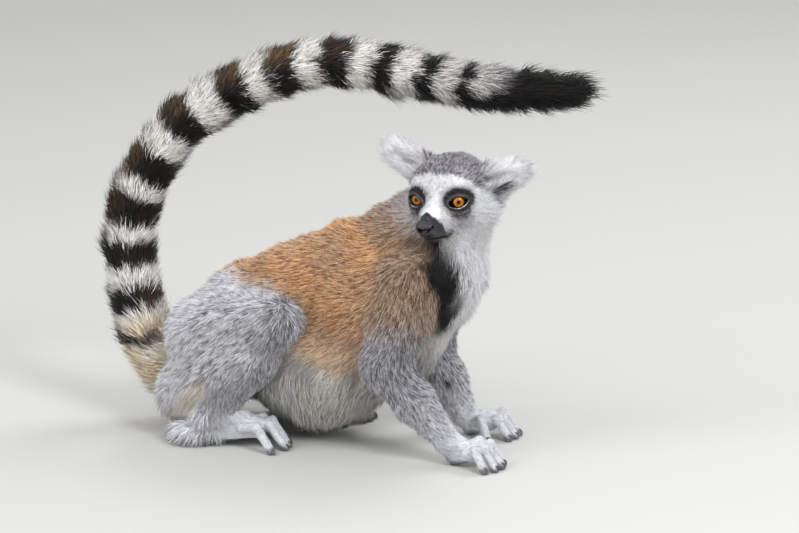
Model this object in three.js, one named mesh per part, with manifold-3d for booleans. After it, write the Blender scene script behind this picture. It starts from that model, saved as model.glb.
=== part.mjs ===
// A ring-tailed lemur at life size, crouched on all fours and looking back over its right shoulder, with its
// tail arched over the body. Millimetres, +Z up, the spine along +X (head end) and +Y on the animal's left.
// Every solid reaches out to the tips of the coat. The flesh is described by round cones that flow into each
// other, and each sub-part is wrapped around its own axis and then parted from its neighbours by a thin cut.
import * as THREE from "three";
import { mergeVertices } from "three/addons/utils/BufferGeometryUtils.js";
import Module from "manifold-3d";

const wasm = await Module();
wasm.setup();

// ---------------------------------------------------------------- driving dimensions
const CUT = 0.4; // width of the thin cut between neighbouring sub-parts
const PRESS = 0.9; // how far a pad would sink below the floor before it is cut flat
const RIGHT = -1; // the sign of Y on each side of the body
const LEFT = 1;

const v = (x, y, z) => new THREE.Vector3(x, y, z);
const FORWARD = v(1, 0, 0);
const SIDEWAYS = v(0, 1, 0);
const UP = v(0, 0, 1);

// The trunk from rump to chest: a deep, round-bellied body carried on bent legs, narrower than it is deep.
const PELVIS = v(-182, 0, 82);
const LOIN = v(-137, 0, 97);
const BELLY = v(-79, 0, 98);
const THORAX = v(-24, 0, 130);
const CHEST = v(24, 0, 153);
const TRUNK = { pelvis: 47, loin: 67, belly: 91, thorax: 84, chest: 60, blend: 8 };
const TRUNK_FLATNESS = { pelvis: 1.05, belly: 1.35, thorax: 1.4, chest: 1.25 };

// The neck rises steeply from the chest and wears a thick ruff.
const NECK_BASE = v(38, 0, 178);
const NECK_TOP = v(48, -2, 214);
const NAPE = v(0, 0, 193);
const NECK = { base: 52, top: 42, nape: 38, flatness: 1.1, blend: 12 };

// The head is turned right round to the animal's right and a little down.
const HEAD_CENTRE = v(52, -6, 236);
const HEAD_TURN = { yaw: -94, pitch: -4, roll: 3 }; // degrees
const SKULL = { radius: 36.5, back: -9, front: 0, cheekRadius: 26, cheekApart: 26, cheekUp: -11 };
const MUZZLE = { root: 26, rootUp: -9, rootRadius: 20, tip: 57.5, tipUp: -17, tipRadius: 11 };
const JAW = { root: 14, rootUp: -20, rootRadius: 18, tip: 49, tipUp: -25, tipRadius: 8 };
const BROW = { forward: 15, up: 14, radius: 18, apart: 26 };
const EYE = { forward: 27.5, apart: 36, up: 1.5, radius: 8.7 };
const EAR = { root: 30, reach: 32, rootRadius: 17, tipRadius: 10.5, flatness: 2.2, back: -6, sweep: -8 };
const EAR_SET = { right: { up: 19, rise: 18 }, left: { up: 9, rise: 10 } };
const EAR_SCOOP = { radius: 24, depth: 5 };

// Arms, from shoulder to wrist. The right one reaches forward, the left one stands straighter.
const ARM = { shoulder: 37, elbow: 25, middle: 21, wrist: 12, blend: 8 };
const ARMS = [
  { name: "right", shoulder: v(26, -38, 158), elbow: v(8, -58, 84), wrist: v(67, -56, 19), heading: -8 },
  { name: "left", shoulder: v(22, 38, 152), elbow: v(12, 48, 80), wrist: v(46, 46, 18), heading: 4 },
];

// Legs, folded: the knees stand out beside the belly and the heels are tucked under the rump.
const LEG = { hip: 46, seat: 36, knee: 28, fold: 31, shinTop: 24, calf: 29, ankle: 16, heel: 10, blend: 14 };
const LEGS = [
  { name: "right", side: RIGHT, hip: v(-172, -34, 92), knee: v(-92, -74, 122), ankle: v(-156, -64, 30) },
  { name: "left", side: LEFT, hip: v(-172, 34, 92), knee: v(-92, 74, 120), ankle: v(-120, 60, 28) },
];
const SEAT_SHIFT = v(-15, 8, -46); // the seat under the hip, outward on each side
const FOLD_SHIFT = v(-12, 0, 0); // the soft fold where thigh and shin press together
const FOOT_HEADING = { right: 3, left: 2 }; // degrees

// Digits: how far each stands off the middle of the palm or sole, its turn from the heading, and its length.
const DIGIT = { sides: 6, rootRadius: 5.2, tipRadius: 3.9, blend: 3 };
const FINGERS = [
  { offset: -9.5, turn: -14, length: 21 },
  { offset: -3.3, turn: -4, length: 24 },
  { offset: 3.3, turn: 6, length: 24 },
  { offset: 9.5, turn: 18, length: 19 },
];
const THUMB = { offset: -8, turn: -50, length: 14, setBack: 14 };
const HAND = { palm: 26, palmRadius: 9, padRadius: 7.5, padShift: 6, width: 18, flatness: 1.25,
  knuckleHeight: 15, bow: 14 };
const TOES = [
  { offset: -8.5, turn: -9, length: 24 },
  { offset: -3, turn: -3, length: 27 },
  { offset: 3, turn: 4, length: 28 },
  { offset: 10, turn: 20, length: 22, setBack: 12 },
];
const GREAT_TOE = { offset: -8, turn: -38, length: 20, setBack: 16 };
const FOOT = { sole: 42, heelBack: 22, width: 15, soleRadius: 9, flatness: 1.2, ballHeight: 19, bow: 12 };

// The tail's middle line: it leaves the rump backwards, arches up and forward and drifts to the left.
const TAIL_LINE = [
  v(-206, -2, 46), v(-238, 1, 68), v(-259, 4, 107), v(-266, 7, 152), v(-264, 9, 195), v(-246, 12, 239),
  v(-211, 15, 281), v(-161, 18, 313), v(-111, 21, 334), v(-61, 24, 342), v(-9, 27, 336), v(37, 29, 330),
  v(84, 32, 326), v(130, 35, 326), v(172, 38, 331),
];
const TAIL_RADII = [34, 34, 32, 31, 30, 29, 28, 27, 26, 26, 26, 27, 27, 23, 11];
const TAIL_LENGTHS = 5;

// ---------------------------------------------------------------- flowing round cones
/** A round cone from a to b. Its optional flatness makes it that much thinner along a direction. */
function cone(a, b, radiusA, radiusB, blend = 8, thin = SIDEWAYS, flatness = 1) {
  return { a, b, radiusA, radiusB, blend, thin: thin.clone().normalize(), flatness };
}

/** Stretches a vector along the cone's thin direction, which flattens the round cone seen from outside. */
function stretched(vector, { thin, flatness }) {
  return vector.clone().addScaledVector(thin, (flatness - 1) * vector.dot(thin));
}

/** The signed distance from a point to a round cone, negative inside. */
function coneDistance(item, point) {
  const along = stretched(item.b.clone().sub(item.a), item);
  const offset = stretched(point.clone().sub(item.a), item);
  const share = THREE.MathUtils.clamp(offset.dot(along) / Math.max(along.lengthSq(), 1e-9), 0, 1);
  const radius = THREE.MathUtils.lerp(item.radiusA, item.radiusB, share);
  return offset.addScaledVector(along, -share).length() - radius;
}

/** The signed distance to several cones that melt into each other. */
function flowDistance(cones, point) {
  let distance = 1e6;
  for (const item of cones) {
    const own = coneDistance(item, point);
    const overlap = Math.max(1 - Math.abs(distance - own) / item.blend, 0);
    distance = Math.min(distance, own) - overlap * overlap * item.blend * 0.25;
  }
  return distance;
}

/** Walks from a point inside the cones along a ray to their surface, grown outward by a margin. */
function surfacePoint(cones, start, direction, grow) {
  const point = start.clone();
  for (let step = 0; step < 80; step += 1) {
    const left = grow - flowDistance(cones, point);
    if (Math.abs(left) < 0.005) {
      break;
    }
    point.addScaledVector(direction, left * 0.7);
  }
  return point;
}

// ---------------------------------------------------------------- wrapping and cutting
/** Joins rings of points, with a pole point at each end, into one closed geometry with faces outward. */
function closedRings(startPole, rings, endPole) {
  const sides = rings[0].length;
  const points = [startPole, ...rings.flat(), endPole];
  const last = points.length - 1;
  const faces = [];
  for (let side = 0; side < sides; side += 1) {
    const next = (side + 1) % sides;
    faces.push(0, 1 + next, 1 + side);
    for (let ring = 0; ring < rings.length - 1; ring += 1) {
      const here = 1 + ring * sides;
      const there = here + sides;
      faces.push(here + side, here + next, there + next);
      faces.push(here + side, there + next, there + side);
    }
    faces.push(last, last - sides + side, last - sides + next);
  }
  const geometry = new THREE.BufferGeometry().setFromPoints(points);
  geometry.setIndex(faces);
  return geometry;
}

/** Wraps cones around a path: rings square to it along its length, and rings that close over each end. */
function wrap(cones, path, { sides, rings, caps = 3, across = SIDEWAYS, straight = null, grow = 0 }) {
  const curve = path.length > 2 ? new THREE.CatmullRomCurve3(path) : new THREE.LineCurve3(...path);
  const ringAt = (share, lean) => {
    const centre = curve.getPointAt(share);
    const axis = straight ?? curve.getTangentAt(share);
    const first = across.clone().addScaledVector(axis, -across.dot(axis)).normalize();
    const second = axis.clone().cross(first);
    return Array.from({ length: sides }, (_, side) => {
      const angle = (side / sides) * Math.PI * 2;
      const ray = first.clone().multiplyScalar(Math.cos(angle)).addScaledVector(second, Math.sin(angle));
      ray.multiplyScalar(Math.cos(lean)).addScaledVector(axis, Math.sin(lean));
      return surfacePoint(cones, centre, ray, grow);
    });
  };
  const leans = Array.from({ length: caps }, (_, cap) => ((cap + 1) / (caps + 1)) * (Math.PI / 2));
  const startRings = leans.map((lean) => ringAt(0, -lean)).reverse();
  const bodyRings = Array.from({ length: rings }, (_, ring) => ringAt(ring / (rings - 1), 0));
  const endRings = leans.map((lean) => ringAt(1, lean));
  const startAxis = straight ?? curve.getTangentAt(0);
  const endAxis = straight ?? curve.getTangentAt(1);
  const startPole = surfacePoint(cones, curve.getPointAt(0), startAxis.clone().negate(), grow);
  const endPole = surfacePoint(cones, curve.getPointAt(1), endAxis, grow);
  return toSolid(closedRings(startPole, [...startRings, ...bodyRings, ...endRings], endPole));
}

/** A closed geometry as a solid that can be joined and cut. */
function toSolid(geometry) {
  geometry.deleteAttribute("normal");
  geometry.deleteAttribute("uv");
  const merged = mergeVertices(geometry, 1e-4);
  const vertProperties = new Float32Array(merged.attributes.position.array);
  const triVerts = new Uint32Array(merged.index.array);
  return new wasm.Manifold(new wasm.Mesh({ numProp: 3, vertProperties, triVerts }));
}

/** A solid back as a geometry with flat faces. */
function toGeometry(solid) {
  const { vertProperties, triVerts, numProp } = solid.getMesh();
  const geometry = new THREE.BufferGeometry();
  const interleaved = new THREE.InterleavedBuffer(vertProperties, numProp);
  const corners = new THREE.InterleavedBufferAttribute(interleaved, 3, 0);
  const positions = Float32Array.from({ length: corners.count * 3 }, (_, index) =>
    corners.getComponent(Math.floor(index / 3), index % 3));
  geometry.setAttribute("position", new THREE.BufferAttribute(positions, 3));
  geometry.setIndex(Array.from(triVerts));
  geometry.computeVertexNormals();
  return geometry;
}

/** The largest of a solid's separate pieces, without the crumbs that a cut can leave. */
function largestPiece(solid) {
  return solid.decompose().reduce((best, piece) => (piece.volume() > best.volume() ? piece : best));
}

/** A solid cut off at the floor, which gives hands and feet their small flats. */
function aboveFloor(solid) {
  const size = 1000;
  const block = new THREE.BoxGeometry(size, size, size).translate(0, 0, size / 2);
  return solid.intersect(toSolid(block));
}

// ---------------------------------------------------------------- trunk, neck and tail
/** The trunk, one smooth mass from the rump to the front of the chest. */
function trunk(grow) {
  const { blend } = TRUNK;
  const cones = [
    cone(PELVIS, LOIN, TRUNK.pelvis, TRUNK.loin, blend, SIDEWAYS, TRUNK_FLATNESS.pelvis),
    cone(LOIN, BELLY, TRUNK.loin, TRUNK.belly, blend, SIDEWAYS, TRUNK_FLATNESS.belly),
    cone(BELLY, THORAX, TRUNK.belly, TRUNK.thorax, blend, SIDEWAYS, TRUNK_FLATNESS.thorax),
    cone(THORAX, CHEST, TRUNK.thorax, TRUNK.chest, blend, SIDEWAYS, TRUNK_FLATNESS.chest),
  ];
  return wrap(cones, [PELVIS, CHEST], { sides: 20, rings: 9, caps: 3, straight: FORWARD, grow });
}

/** The neck with its ruff, and the nape that runs down to the shoulders. */
function neck(grow) {
  const cones = [
    cone(NECK_BASE, NECK_TOP, NECK.base, NECK.top, NECK.blend, SIDEWAYS, NECK.flatness),
    cone(NAPE, NECK_TOP, NECK.nape, NECK.top, NECK.blend),
  ];
  return wrap(cones, [NECK_BASE, NECK_TOP], { sides: 13, rings: 4, caps: 2, straight: UP, grow });
}

/** One length of the tail, square-ended where it meets the next and rounded at the two outer ends. */
function tailLength(index) {
  return (grow) => {
    const curve = new THREE.CatmullRomCurve3(TAIL_LINE);
    const radiusAt = (share) => {
      const place = share * (TAIL_RADII.length - 1);
      const before = Math.min(Math.floor(place), TAIL_RADII.length - 2);
      return THREE.MathUtils.lerp(TAIL_RADII[before], TAIL_RADII[before + 1], place - before);
    };
    const steps = 4;
    const sides = 12;
    const halfCut = CUT / 2 / curve.getLength();
    const start = index / TAIL_LENGTHS + (index > 0 ? halfCut : 0);
    const end = (index + 1) / TAIL_LENGTHS - (index < TAIL_LENGTHS - 1 ? halfCut : 0);
    const ringAt = (share, scale) => {
      const centre = curve.getPoint(share);
      const axis = curve.getTangent(share);
      const across = SIDEWAYS.clone().addScaledVector(axis, -SIDEWAYS.dot(axis)).normalize();
      const second = axis.clone().cross(across);
      const radius = (radiusAt(share) + grow) * scale;
      return Array.from({ length: sides }, (_, side) => {
        const angle = (side / sides) * Math.PI * 2;
        const out = across.clone().multiplyScalar(Math.cos(angle)).addScaledVector(second, Math.sin(angle));
        return centre.clone().addScaledVector(out, radius);
      });
    };
    const rings = Array.from({ length: steps + 1 }, (_, step) =>
      ringAt(THREE.MathUtils.lerp(start, end, step / steps), 1));
    const startPole = curve.getPoint(start);
    const endPole = curve.getPoint(end);
    if (index === TAIL_LENGTHS - 1) {
      endPole.addScaledVector(curve.getTangent(1), TAIL_RADII.at(-1) * 0.7);
    }
    return toSolid(closedRings(startPole, rings, endPole));
  };
}

// ---------------------------------------------------------------- head
const headTurn = new THREE.Matrix4()
  .makeRotationZ(THREE.MathUtils.degToRad(HEAD_TURN.yaw))
  .multiply(new THREE.Matrix4().makeRotationY(THREE.MathUtils.degToRad(-HEAD_TURN.pitch)))
  .multiply(new THREE.Matrix4().makeRotationX(THREE.MathUtils.degToRad(HEAD_TURN.roll)));

/** A point of the head, given forward of, left of and above its centre. */
function onHead(forward, left, up) {
  return v(forward, left, up).applyMatrix4(headTurn).add(HEAD_CENTRE);
}

/** A direction of the head, given in the same way. */
function headDirection(forward, left, up) {
  return v(forward, left, up).transformDirection(headTurn);
}

/** The head without its ears: skull, brow, cheeks and a fox-like muzzle. */
function head(grow) {
  const cheek = (side) => onHead(8, (side * SKULL.cheekApart) / 2, SKULL.cheekUp);
  const brow = (side) => onHead(BROW.forward, (side * BROW.apart) / 2, BROW.up);
  const cones = [
    cone(onHead(SKULL.back, 0, 2), onHead(SKULL.front, 0, 3), SKULL.radius, SKULL.radius, 8),
    cone(cheek(LEFT), cheek(RIGHT), SKULL.cheekRadius, SKULL.cheekRadius, 10),
    cone(brow(LEFT), brow(RIGHT), BROW.radius, BROW.radius, 8),
    cone(onHead(MUZZLE.root, 0, MUZZLE.rootUp), onHead(MUZZLE.tip, 0, MUZZLE.tipUp),
      MUZZLE.rootRadius, MUZZLE.tipRadius, 10),
    cone(onHead(JAW.root, 0, JAW.rootUp), onHead(JAW.tip, 0, JAW.tipUp), JAW.rootRadius, JAW.tipRadius, 6),
  ];
  const path = [onHead(SKULL.back, 0, 0), onHead(MUZZLE.tip - 4, 0, MUZZLE.tipUp)];
  return wrap(cones, path, { sides: 20, rings: 10, caps: 2, across: UP, grow });
}

/** An ear: a broad leaf that narrows to a blunt tip, scooped hollow on its forward and outward side. */
function ear(name, side) {
  const { up, rise } = EAR_SET[name];
  return (grow) => {
    const root = onHead(EAR.back, side * EAR.root, up);
    const tip = onHead(EAR.back + EAR.sweep, side * (EAR.root + EAR.reach), up + rise);
    const forward = headDirection(1, side * 0.25, 0);
    const cones = [cone(root, tip, EAR.rootRadius, EAR.tipRadius, 4, forward, EAR.flatness)];
    const leaf = wrap(cones, [root, tip], { sides: 12, rings: 3, caps: 2, across: forward, grow });
    const centre = root.clone().lerp(tip, 0.5);
    const leafDepth = (EAR.rootRadius + EAR.tipRadius) / 2 / EAR.flatness;
    const reach = EAR_SCOOP.radius + leafDepth - EAR_SCOOP.depth;
    const scoop = new THREE.SphereGeometry(EAR_SCOOP.radius, 12, 8)
      .translate(...centre.addScaledVector(forward, reach).toArray());
    return leaf.subtract(toSolid(scoop));
  };
}

/** An eyeball, set in the head with its front showing. */
function eye(side) {
  return (grow) => {
    const centre = onHead(EYE.forward, (side * EYE.apart) / 2, EYE.up);
    const ball = new THREE.SphereGeometry(EYE.radius + grow, 12, 7).translate(...centre.toArray());
    return toSolid(ball);
  };
}

// ---------------------------------------------------------------- arms and legs
/** An upper arm from the shoulder to just above the elbow. */
function upperArm({ shoulder, elbow }) {
  return (grow) => {
    const cones = [cone(shoulder, elbow, ARM.shoulder, ARM.elbow, ARM.blend)];
    return wrap(cones, [shoulder, elbow], { sides: 12, rings: 3, caps: 2, across: FORWARD, grow });
  };
}

/** A forearm, with its muscle towards the elbow and a slim wrist. */
function forearm({ elbow, wrist }) {
  return (grow) => {
    const middle = elbow.clone().lerp(wrist, 0.45);
    const cones = [
      cone(elbow, middle, ARM.elbow, ARM.middle, ARM.blend),
      cone(middle, wrist, ARM.middle, ARM.wrist, ARM.blend),
    ];
    return wrap(cones, [elbow, wrist], { sides: 12, rings: 4, caps: 2, grow });
  };
}

/** A finger or toe that bows over its joint and comes down on its tip pad. */
function digit(root, heading, length, bow, grow) {
  const reach = FORWARD.clone().applyAxisAngle(UP, THREE.MathUtils.degToRad(heading));
  const middle = root.clone().addScaledVector(reach, length * 0.5).addScaledVector(UP, bow * 0.3);
  const tip = root.clone().addScaledVector(reach, length).setZ(DIGIT.tipRadius - PRESS - 0.4);
  const joint = (DIGIT.rootRadius + DIGIT.tipRadius) / 2;
  const cones = [
    cone(root, middle, DIGIT.rootRadius, joint, DIGIT.blend),
    cone(middle, tip, joint, DIGIT.tipRadius, DIGIT.blend),
  ];
  return wrap(cones, [root, middle, tip], { sides: DIGIT.sides, rings: 4, caps: 0, grow });
}

/** A palm or sole with its digits: a broad pad from the heel end to the knuckles, then five digits. */
function paw(back, front, size, digits, heading, side, grow) {
  const across = SIDEWAYS.clone().applyAxisAngle(UP, THREE.MathUtils.degToRad(heading));
  const reach = FORWARD.clone().applyAxisAngle(UP, THREE.MathUtils.degToRad(heading));
  const half = (size.width / 2) * side;
  const padBack = back.clone().addScaledVector(reach, size.padShift).setZ(size.padRadius - PRESS);
  const padFront = front.clone().setZ(size.padFrontHeight);
  const cones = [
    cone(padBack, padFront, size.padRadius, size.edgeRadius, 6),
    cone(back, front, size.backRadius, size.frontRadius, 6, UP, size.flatness),
    cone(front.clone().addScaledVector(across, -half), front.clone().addScaledVector(across, half),
      size.edgeRadius, size.edgeRadius, 6, UP, size.flatness),
  ];
  let solid = wrap(cones, [back, front], { sides: 10, rings: 3, caps: 1, grow });
  for (const { offset, turn, length, setBack = 4 } of digits) {
    const root = front.clone().addScaledVector(across, offset * side).addScaledVector(reach, -setBack);
    solid = solid.add(digit(root, heading + turn * side, length + setBack, size.bow, grow));
  }
  return solid;
}

/** A hand: a short palm, four fingers and a thumb that stands off to the inside. */
function hand({ name, wrist, heading }) {
  const side = name === "right" ? RIGHT : LEFT;
  return (grow) => {
    const reach = FORWARD.clone().applyAxisAngle(UP, THREE.MathUtils.degToRad(heading));
    const front = wrist.clone().addScaledVector(reach, HAND.palm).setZ(HAND.knuckleHeight);
    const size = { width: HAND.width, backRadius: ARM.wrist, frontRadius: HAND.palmRadius,
      edgeRadius: 6.5, padRadius: HAND.padRadius, padShift: HAND.padShift,
      padFrontHeight: HAND.knuckleHeight - 4, flatness: HAND.flatness, bow: HAND.bow };
    return paw(wrist, front, size, [...FINGERS, THUMB], heading, side, grow);
  };
}

/** A thigh, one broad oval mass over the folded leg. */
function thigh({ hip, knee, ankle, side }) {
  return (grow) => {
    const fold = knee.clone().lerp(ankle, 0.5).add(FOLD_SHIFT);
    const seat = hip.clone().add(v(SEAT_SHIFT.x, side * SEAT_SHIFT.y, SEAT_SHIFT.z));
    const cones = [
      cone(hip, knee, LEG.hip, LEG.knee, LEG.blend),
      cone(seat, fold, LEG.seat, LEG.fold, LEG.blend),
    ];
    const path = [hip.clone().lerp(seat, 0.5), knee.clone().lerp(fold, 0.3)];
    return wrap(cones, path, { sides: 14, rings: 5, caps: 2, grow });
  };
}

/** A shin with its calf, from the knee down to the ankle. */
function shin({ knee, ankle }) {
  return (grow) => {
    const top = knee.clone().lerp(ankle, 0.15);
    const calf = knee.clone().lerp(ankle, 0.4);
    const cones = [
      cone(top, calf, LEG.shinTop, LEG.calf, LEG.blend),
      cone(calf, ankle, LEG.calf, LEG.ankle, LEG.blend),
    ];
    return wrap(cones, [top, ankle], { sides: 12, rings: 4, caps: 2, grow });
  };
}

/** A foot: a long narrow sole from the heel, four toes and a strong great toe set apart. */
function foot({ name, side, ankle }) {
  const heading = FOOT_HEADING[name];
  return (grow) => {
    const reach = FORWARD.clone().applyAxisAngle(UP, THREE.MathUtils.degToRad(heading));
    const heel = ankle.clone().addScaledVector(reach, -FOOT.heelBack).setZ(LEG.heel - 1.5);
    const ball = ankle.clone().addScaledVector(reach, FOOT.sole).setZ(FOOT.ballHeight);
    const size = { width: FOOT.width, backRadius: LEG.heel, frontRadius: FOOT.soleRadius,
      edgeRadius: 6.5, padRadius: LEG.heel, padShift: 0, padFrontHeight: FOOT.ballHeight,
      flatness: FOOT.flatness, bow: FOOT.bow };
    const instep = wrap([cone(ankle, ball, LEG.ankle, FOOT.soleRadius, 6)], [ankle, ball],
      { sides: 8, rings: 2, caps: 0, grow });
    return paw(heel, ball, size, [...TOES, GREAT_TOE], heading, side, grow).add(instep);
  };
}

// ---------------------------------------------------------------- assembly
const FINISH = {
  tan: { color: 0xb0906c, roughness: 0.95 },
  grey: { color: 0x9a9690, roughness: 0.95 },
  white: { color: 0xdad6cd, roughness: 0.95 },
  banded: { color: 0xd8d5cf, roughness: 0.95 },
  dark: { color: 0x2a2624, roughness: 0.95 },
  amber: { color: 0xc9720c, roughness: 0.1 },
};

/** Every sub-part with its name, shape and finish. Each is cut clear of all those before it. */
function subParts() {
  const parts = [];
  const add = (name, shape, finish) => parts.push({ name, shape, finish });
  const sides = [["right", RIGHT], ["left", LEFT]];
  sides.forEach(([name, side]) => add(`eye_${name}`, eye(side), FINISH.amber));
  add("head", head, FINISH.white);
  add("trunk", trunk, FINISH.tan);
  add("neck", neck, FINISH.white);
  sides.forEach(([name, side]) => add(`ear_${name}`, ear(name, side), FINISH.white));
  for (const arm of ARMS) {
    add(`upper_arm_${arm.name}`, upperArm(arm), FINISH.grey);
    add(`forearm_${arm.name}`, forearm(arm), FINISH.grey);
    add(`hand_${arm.name}`, hand(arm), FINISH.grey);
  }
  for (const leg of LEGS) {
    add(`thigh_${leg.name}`, thigh(leg), FINISH.grey);
    add(`shin_${leg.name}`, shin(leg), FINISH.grey);
    add(`foot_${leg.name}`, foot(leg), FINISH.grey);
  }
  for (let index = 0; index < TAIL_LENGTHS; index += 1) {
    add(`tail_${index + 1}`, tailLength(index), index % 2 === 0 ? FINISH.banded : FINISH.dark);
  }
  return parts;
}

/** Builds the named meshes, each cut clear of its neighbours and set down on the floor. */
function assemble() {
  const group = new THREE.Group();
  const cutters = [];
  for (const { name, shape, finish } of subParts()) {
    const whole = cutters.reduce((solid, cutter) => solid.subtract(cutter), shape(0));
    cutters.push(shape(CUT));
    const material = new THREE.MeshStandardMaterial({ ...finish, metalness: 0 });
    const mesh = new THREE.Mesh(toGeometry(largestPiece(aboveFloor(whole))), material);
    mesh.name = name;
    group.add(mesh);
  }
  const middle = new THREE.Box3().setFromObject(group, true).getCenter(v(0, 0, 0));
  group.position.set(-middle.x, -middle.y, 0);
  return group;
}

const group = assemble();
export default group;
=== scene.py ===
"""A ring-tailed lemur at life size, as a still model.

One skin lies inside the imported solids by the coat's depth and replaces every node of flesh. A coat of solid
tufts grows over it along the lie of the hair, with the same markings as the skin. The eyes, nails and
whiskers are pieces of their own. Body places are given in millimetres ahead, to the animal's left and up.
"""

from __future__ import annotations

import logging
import math
from dataclasses import dataclass, field
from enum import Enum
from typing import Callable

import bmesh
import bpy
import numpy as np
import openvdb
from mathutils import Matrix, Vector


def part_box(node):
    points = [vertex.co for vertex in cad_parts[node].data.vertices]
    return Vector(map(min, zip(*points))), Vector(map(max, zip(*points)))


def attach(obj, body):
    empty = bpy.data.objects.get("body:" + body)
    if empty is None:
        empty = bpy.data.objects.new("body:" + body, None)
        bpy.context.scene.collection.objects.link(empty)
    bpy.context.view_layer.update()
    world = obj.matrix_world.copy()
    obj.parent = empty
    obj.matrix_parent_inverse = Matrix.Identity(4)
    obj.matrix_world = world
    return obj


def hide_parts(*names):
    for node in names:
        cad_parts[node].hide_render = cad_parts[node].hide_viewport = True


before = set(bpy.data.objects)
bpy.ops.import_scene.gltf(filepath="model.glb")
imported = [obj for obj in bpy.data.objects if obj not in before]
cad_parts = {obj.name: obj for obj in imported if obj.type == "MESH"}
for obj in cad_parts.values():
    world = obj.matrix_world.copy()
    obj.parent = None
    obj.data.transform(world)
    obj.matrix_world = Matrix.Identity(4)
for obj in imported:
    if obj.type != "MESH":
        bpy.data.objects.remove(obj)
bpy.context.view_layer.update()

LOG = logging.getLogger("lemur")
Array = np.ndarray
Socket = bpy.types.NodeSocket

MM = 0.001
FAR = 1.0  # a distance beyond any part of the body, in metres
RIGHT = -1.0  # the sign of the sideways axis on each side of the body
LEFT = 1.0
SIDEWAYS = np.array((0.0, 1.0, 0.0))
UP = np.array((0.0, 0.0, 1.0))


# ---------------------------------------------------------------- small tools
def mm(ahead: float, left: float, up: float) -> Array:
    """A point or step given in millimetres, in metres."""
    return np.array((ahead, left, up), dtype=float) * MM


def unit(vectors: Array) -> Array:
    """Vectors scaled to length one along their last axis."""
    return vectors / np.maximum(np.linalg.norm(vectors, axis=-1, keepdims=True), 1e-12)


def mix(first: Array, second: Array, share: Array) -> Array:
    """A blend from the first value at share 0 to the second at share 1."""
    return first + (second - first) * share


def ramp(value: Array, low: float, high: float) -> Array:
    """A smooth step from 0 at low to 1 at high, or falling where high is below low."""
    share = np.clip((value - low) / (high - low), 0.0, 1.0)
    return share * share * (3.0 - 2.0 * share)


def colour(red: int, green: int, blue: int) -> Array:
    """A colour given as it looks on a screen, 0 to 255, as linear light."""
    value = np.array((red, green, blue), dtype=float) / 255.0
    return np.where(value <= 0.04045, value / 12.92, ((value + 0.055) / 1.055) ** 2.4)


def heading_vector(degrees: float) -> Array:
    """A level direction, turned to the left of straight ahead by an angle."""
    angle = math.radians(degrees)
    return np.array((math.cos(angle), math.sin(angle), 0.0))


class Waves:
    """Smooth, repeatable noise in space, made of crossing sine waves."""

    def __init__(self, seed: int, size: float, count: int = 14) -> None:
        """Draws the waves.

        Args:
            seed: The seed that fixes them.
            size: The typical width of a patch, in metres.
            count: How many waves cross.
        """
        rng = np.random.default_rng(seed)
        directions = unit(rng.normal(size=(count, 3)))
        self.waves = directions * (math.pi / size) * rng.uniform(0.6, 1.5, size=(count, 1))
        self.phases = rng.uniform(0.0, 2.0 * math.pi, size=count)
        self.scale = math.sqrt(2.0 / count)

    def at(self, points: Array) -> Array:
        """The noise at each point, mostly between -1 and 1."""
        return np.sin(points @ self.waves.T + self.phases).sum(axis=1) * self.scale


# ---------------------------------------------------------------- the body in round cones
class Part(Enum):
    """The parts of the body that the coat and its colours tell apart."""

    TRUNK = 0
    NECK = 1
    HEAD = 2
    EARS = 3
    ARM_RIGHT = 4
    ARM_LEFT = 5
    HAND_RIGHT = 6
    HAND_LEFT = 7
    THIGH_RIGHT = 8
    THIGH_LEFT = 9
    SHIN_RIGHT = 10
    SHIN_LEFT = 11
    FOOT_RIGHT = 12
    FOOT_LEFT = 13
    TAIL = 14


@dataclass(frozen=True)
class CoatStyle:
    """How the hair grows on one part: lengths and widths in millimetres, lift in degrees."""

    length: float
    lift: float
    width: float
    density: float  # tufts on each square millimetre of skin
    clump: float = 0.35  # how far the tips are drawn together into locks


@dataclass(frozen=True)
class RoundCone:
    """A cone with round ends. Its flatness makes it that much thinner along one direction."""

    part: Part
    start: Array
    end: Array
    start_radius: float
    end_radius: float
    lie: Array
    style: CoatStyle
    blend: float
    thin: Array
    flatness: float

    def distance(self, points: Array) -> Array:
        """The signed distance from points to the cone, negative inside.

        Args:
            points: Points in the body's own metres.

        Returns:
            The distances.
        """
        stretch = (self.flatness - 1.0) * self.thin
        along = self.end - self.start
        along = along + stretch * (along @ self.thin)
        offset = points - self.start
        if self.flatness != 1.0:
            offset = offset + (offset @ self.thin)[:, None] * stretch
        share = np.clip((offset @ along) / max(along @ along, 1e-12), 0.0, 1.0)
        radius = self.start_radius + (self.end_radius - self.start_radius) * share
        return np.linalg.norm(offset - share[:, None] * along, axis=1) - radius

    def corners(self, margin: float) -> tuple[Array, Array]:
        """The lowest and highest corners of a box around the cone, wider by a margin.

        Args:
            margin: How much wider the box is.

        Returns:
            The two corners.
        """
        reach = max(self.start_radius, self.end_radius) + margin
        low = np.minimum(self.start, self.end) - reach
        high = np.maximum(self.start, self.end) + reach
        return low, high


def melt(distance: Array, own: Array, blend: float) -> Array:
    """Joins two distances so that their surfaces flow into each other over a blend width."""
    overlap = np.maximum(1.0 - np.abs(distance - own) / blend, 0.0)
    return np.minimum(distance, own) - overlap * overlap * blend * 0.25


def carve(distance: Array, cutter: Array, blend: float) -> Array:
    """Cuts one shape out of another and rounds the rim over a blend width."""
    return -melt(-distance, cutter, blend)


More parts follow.
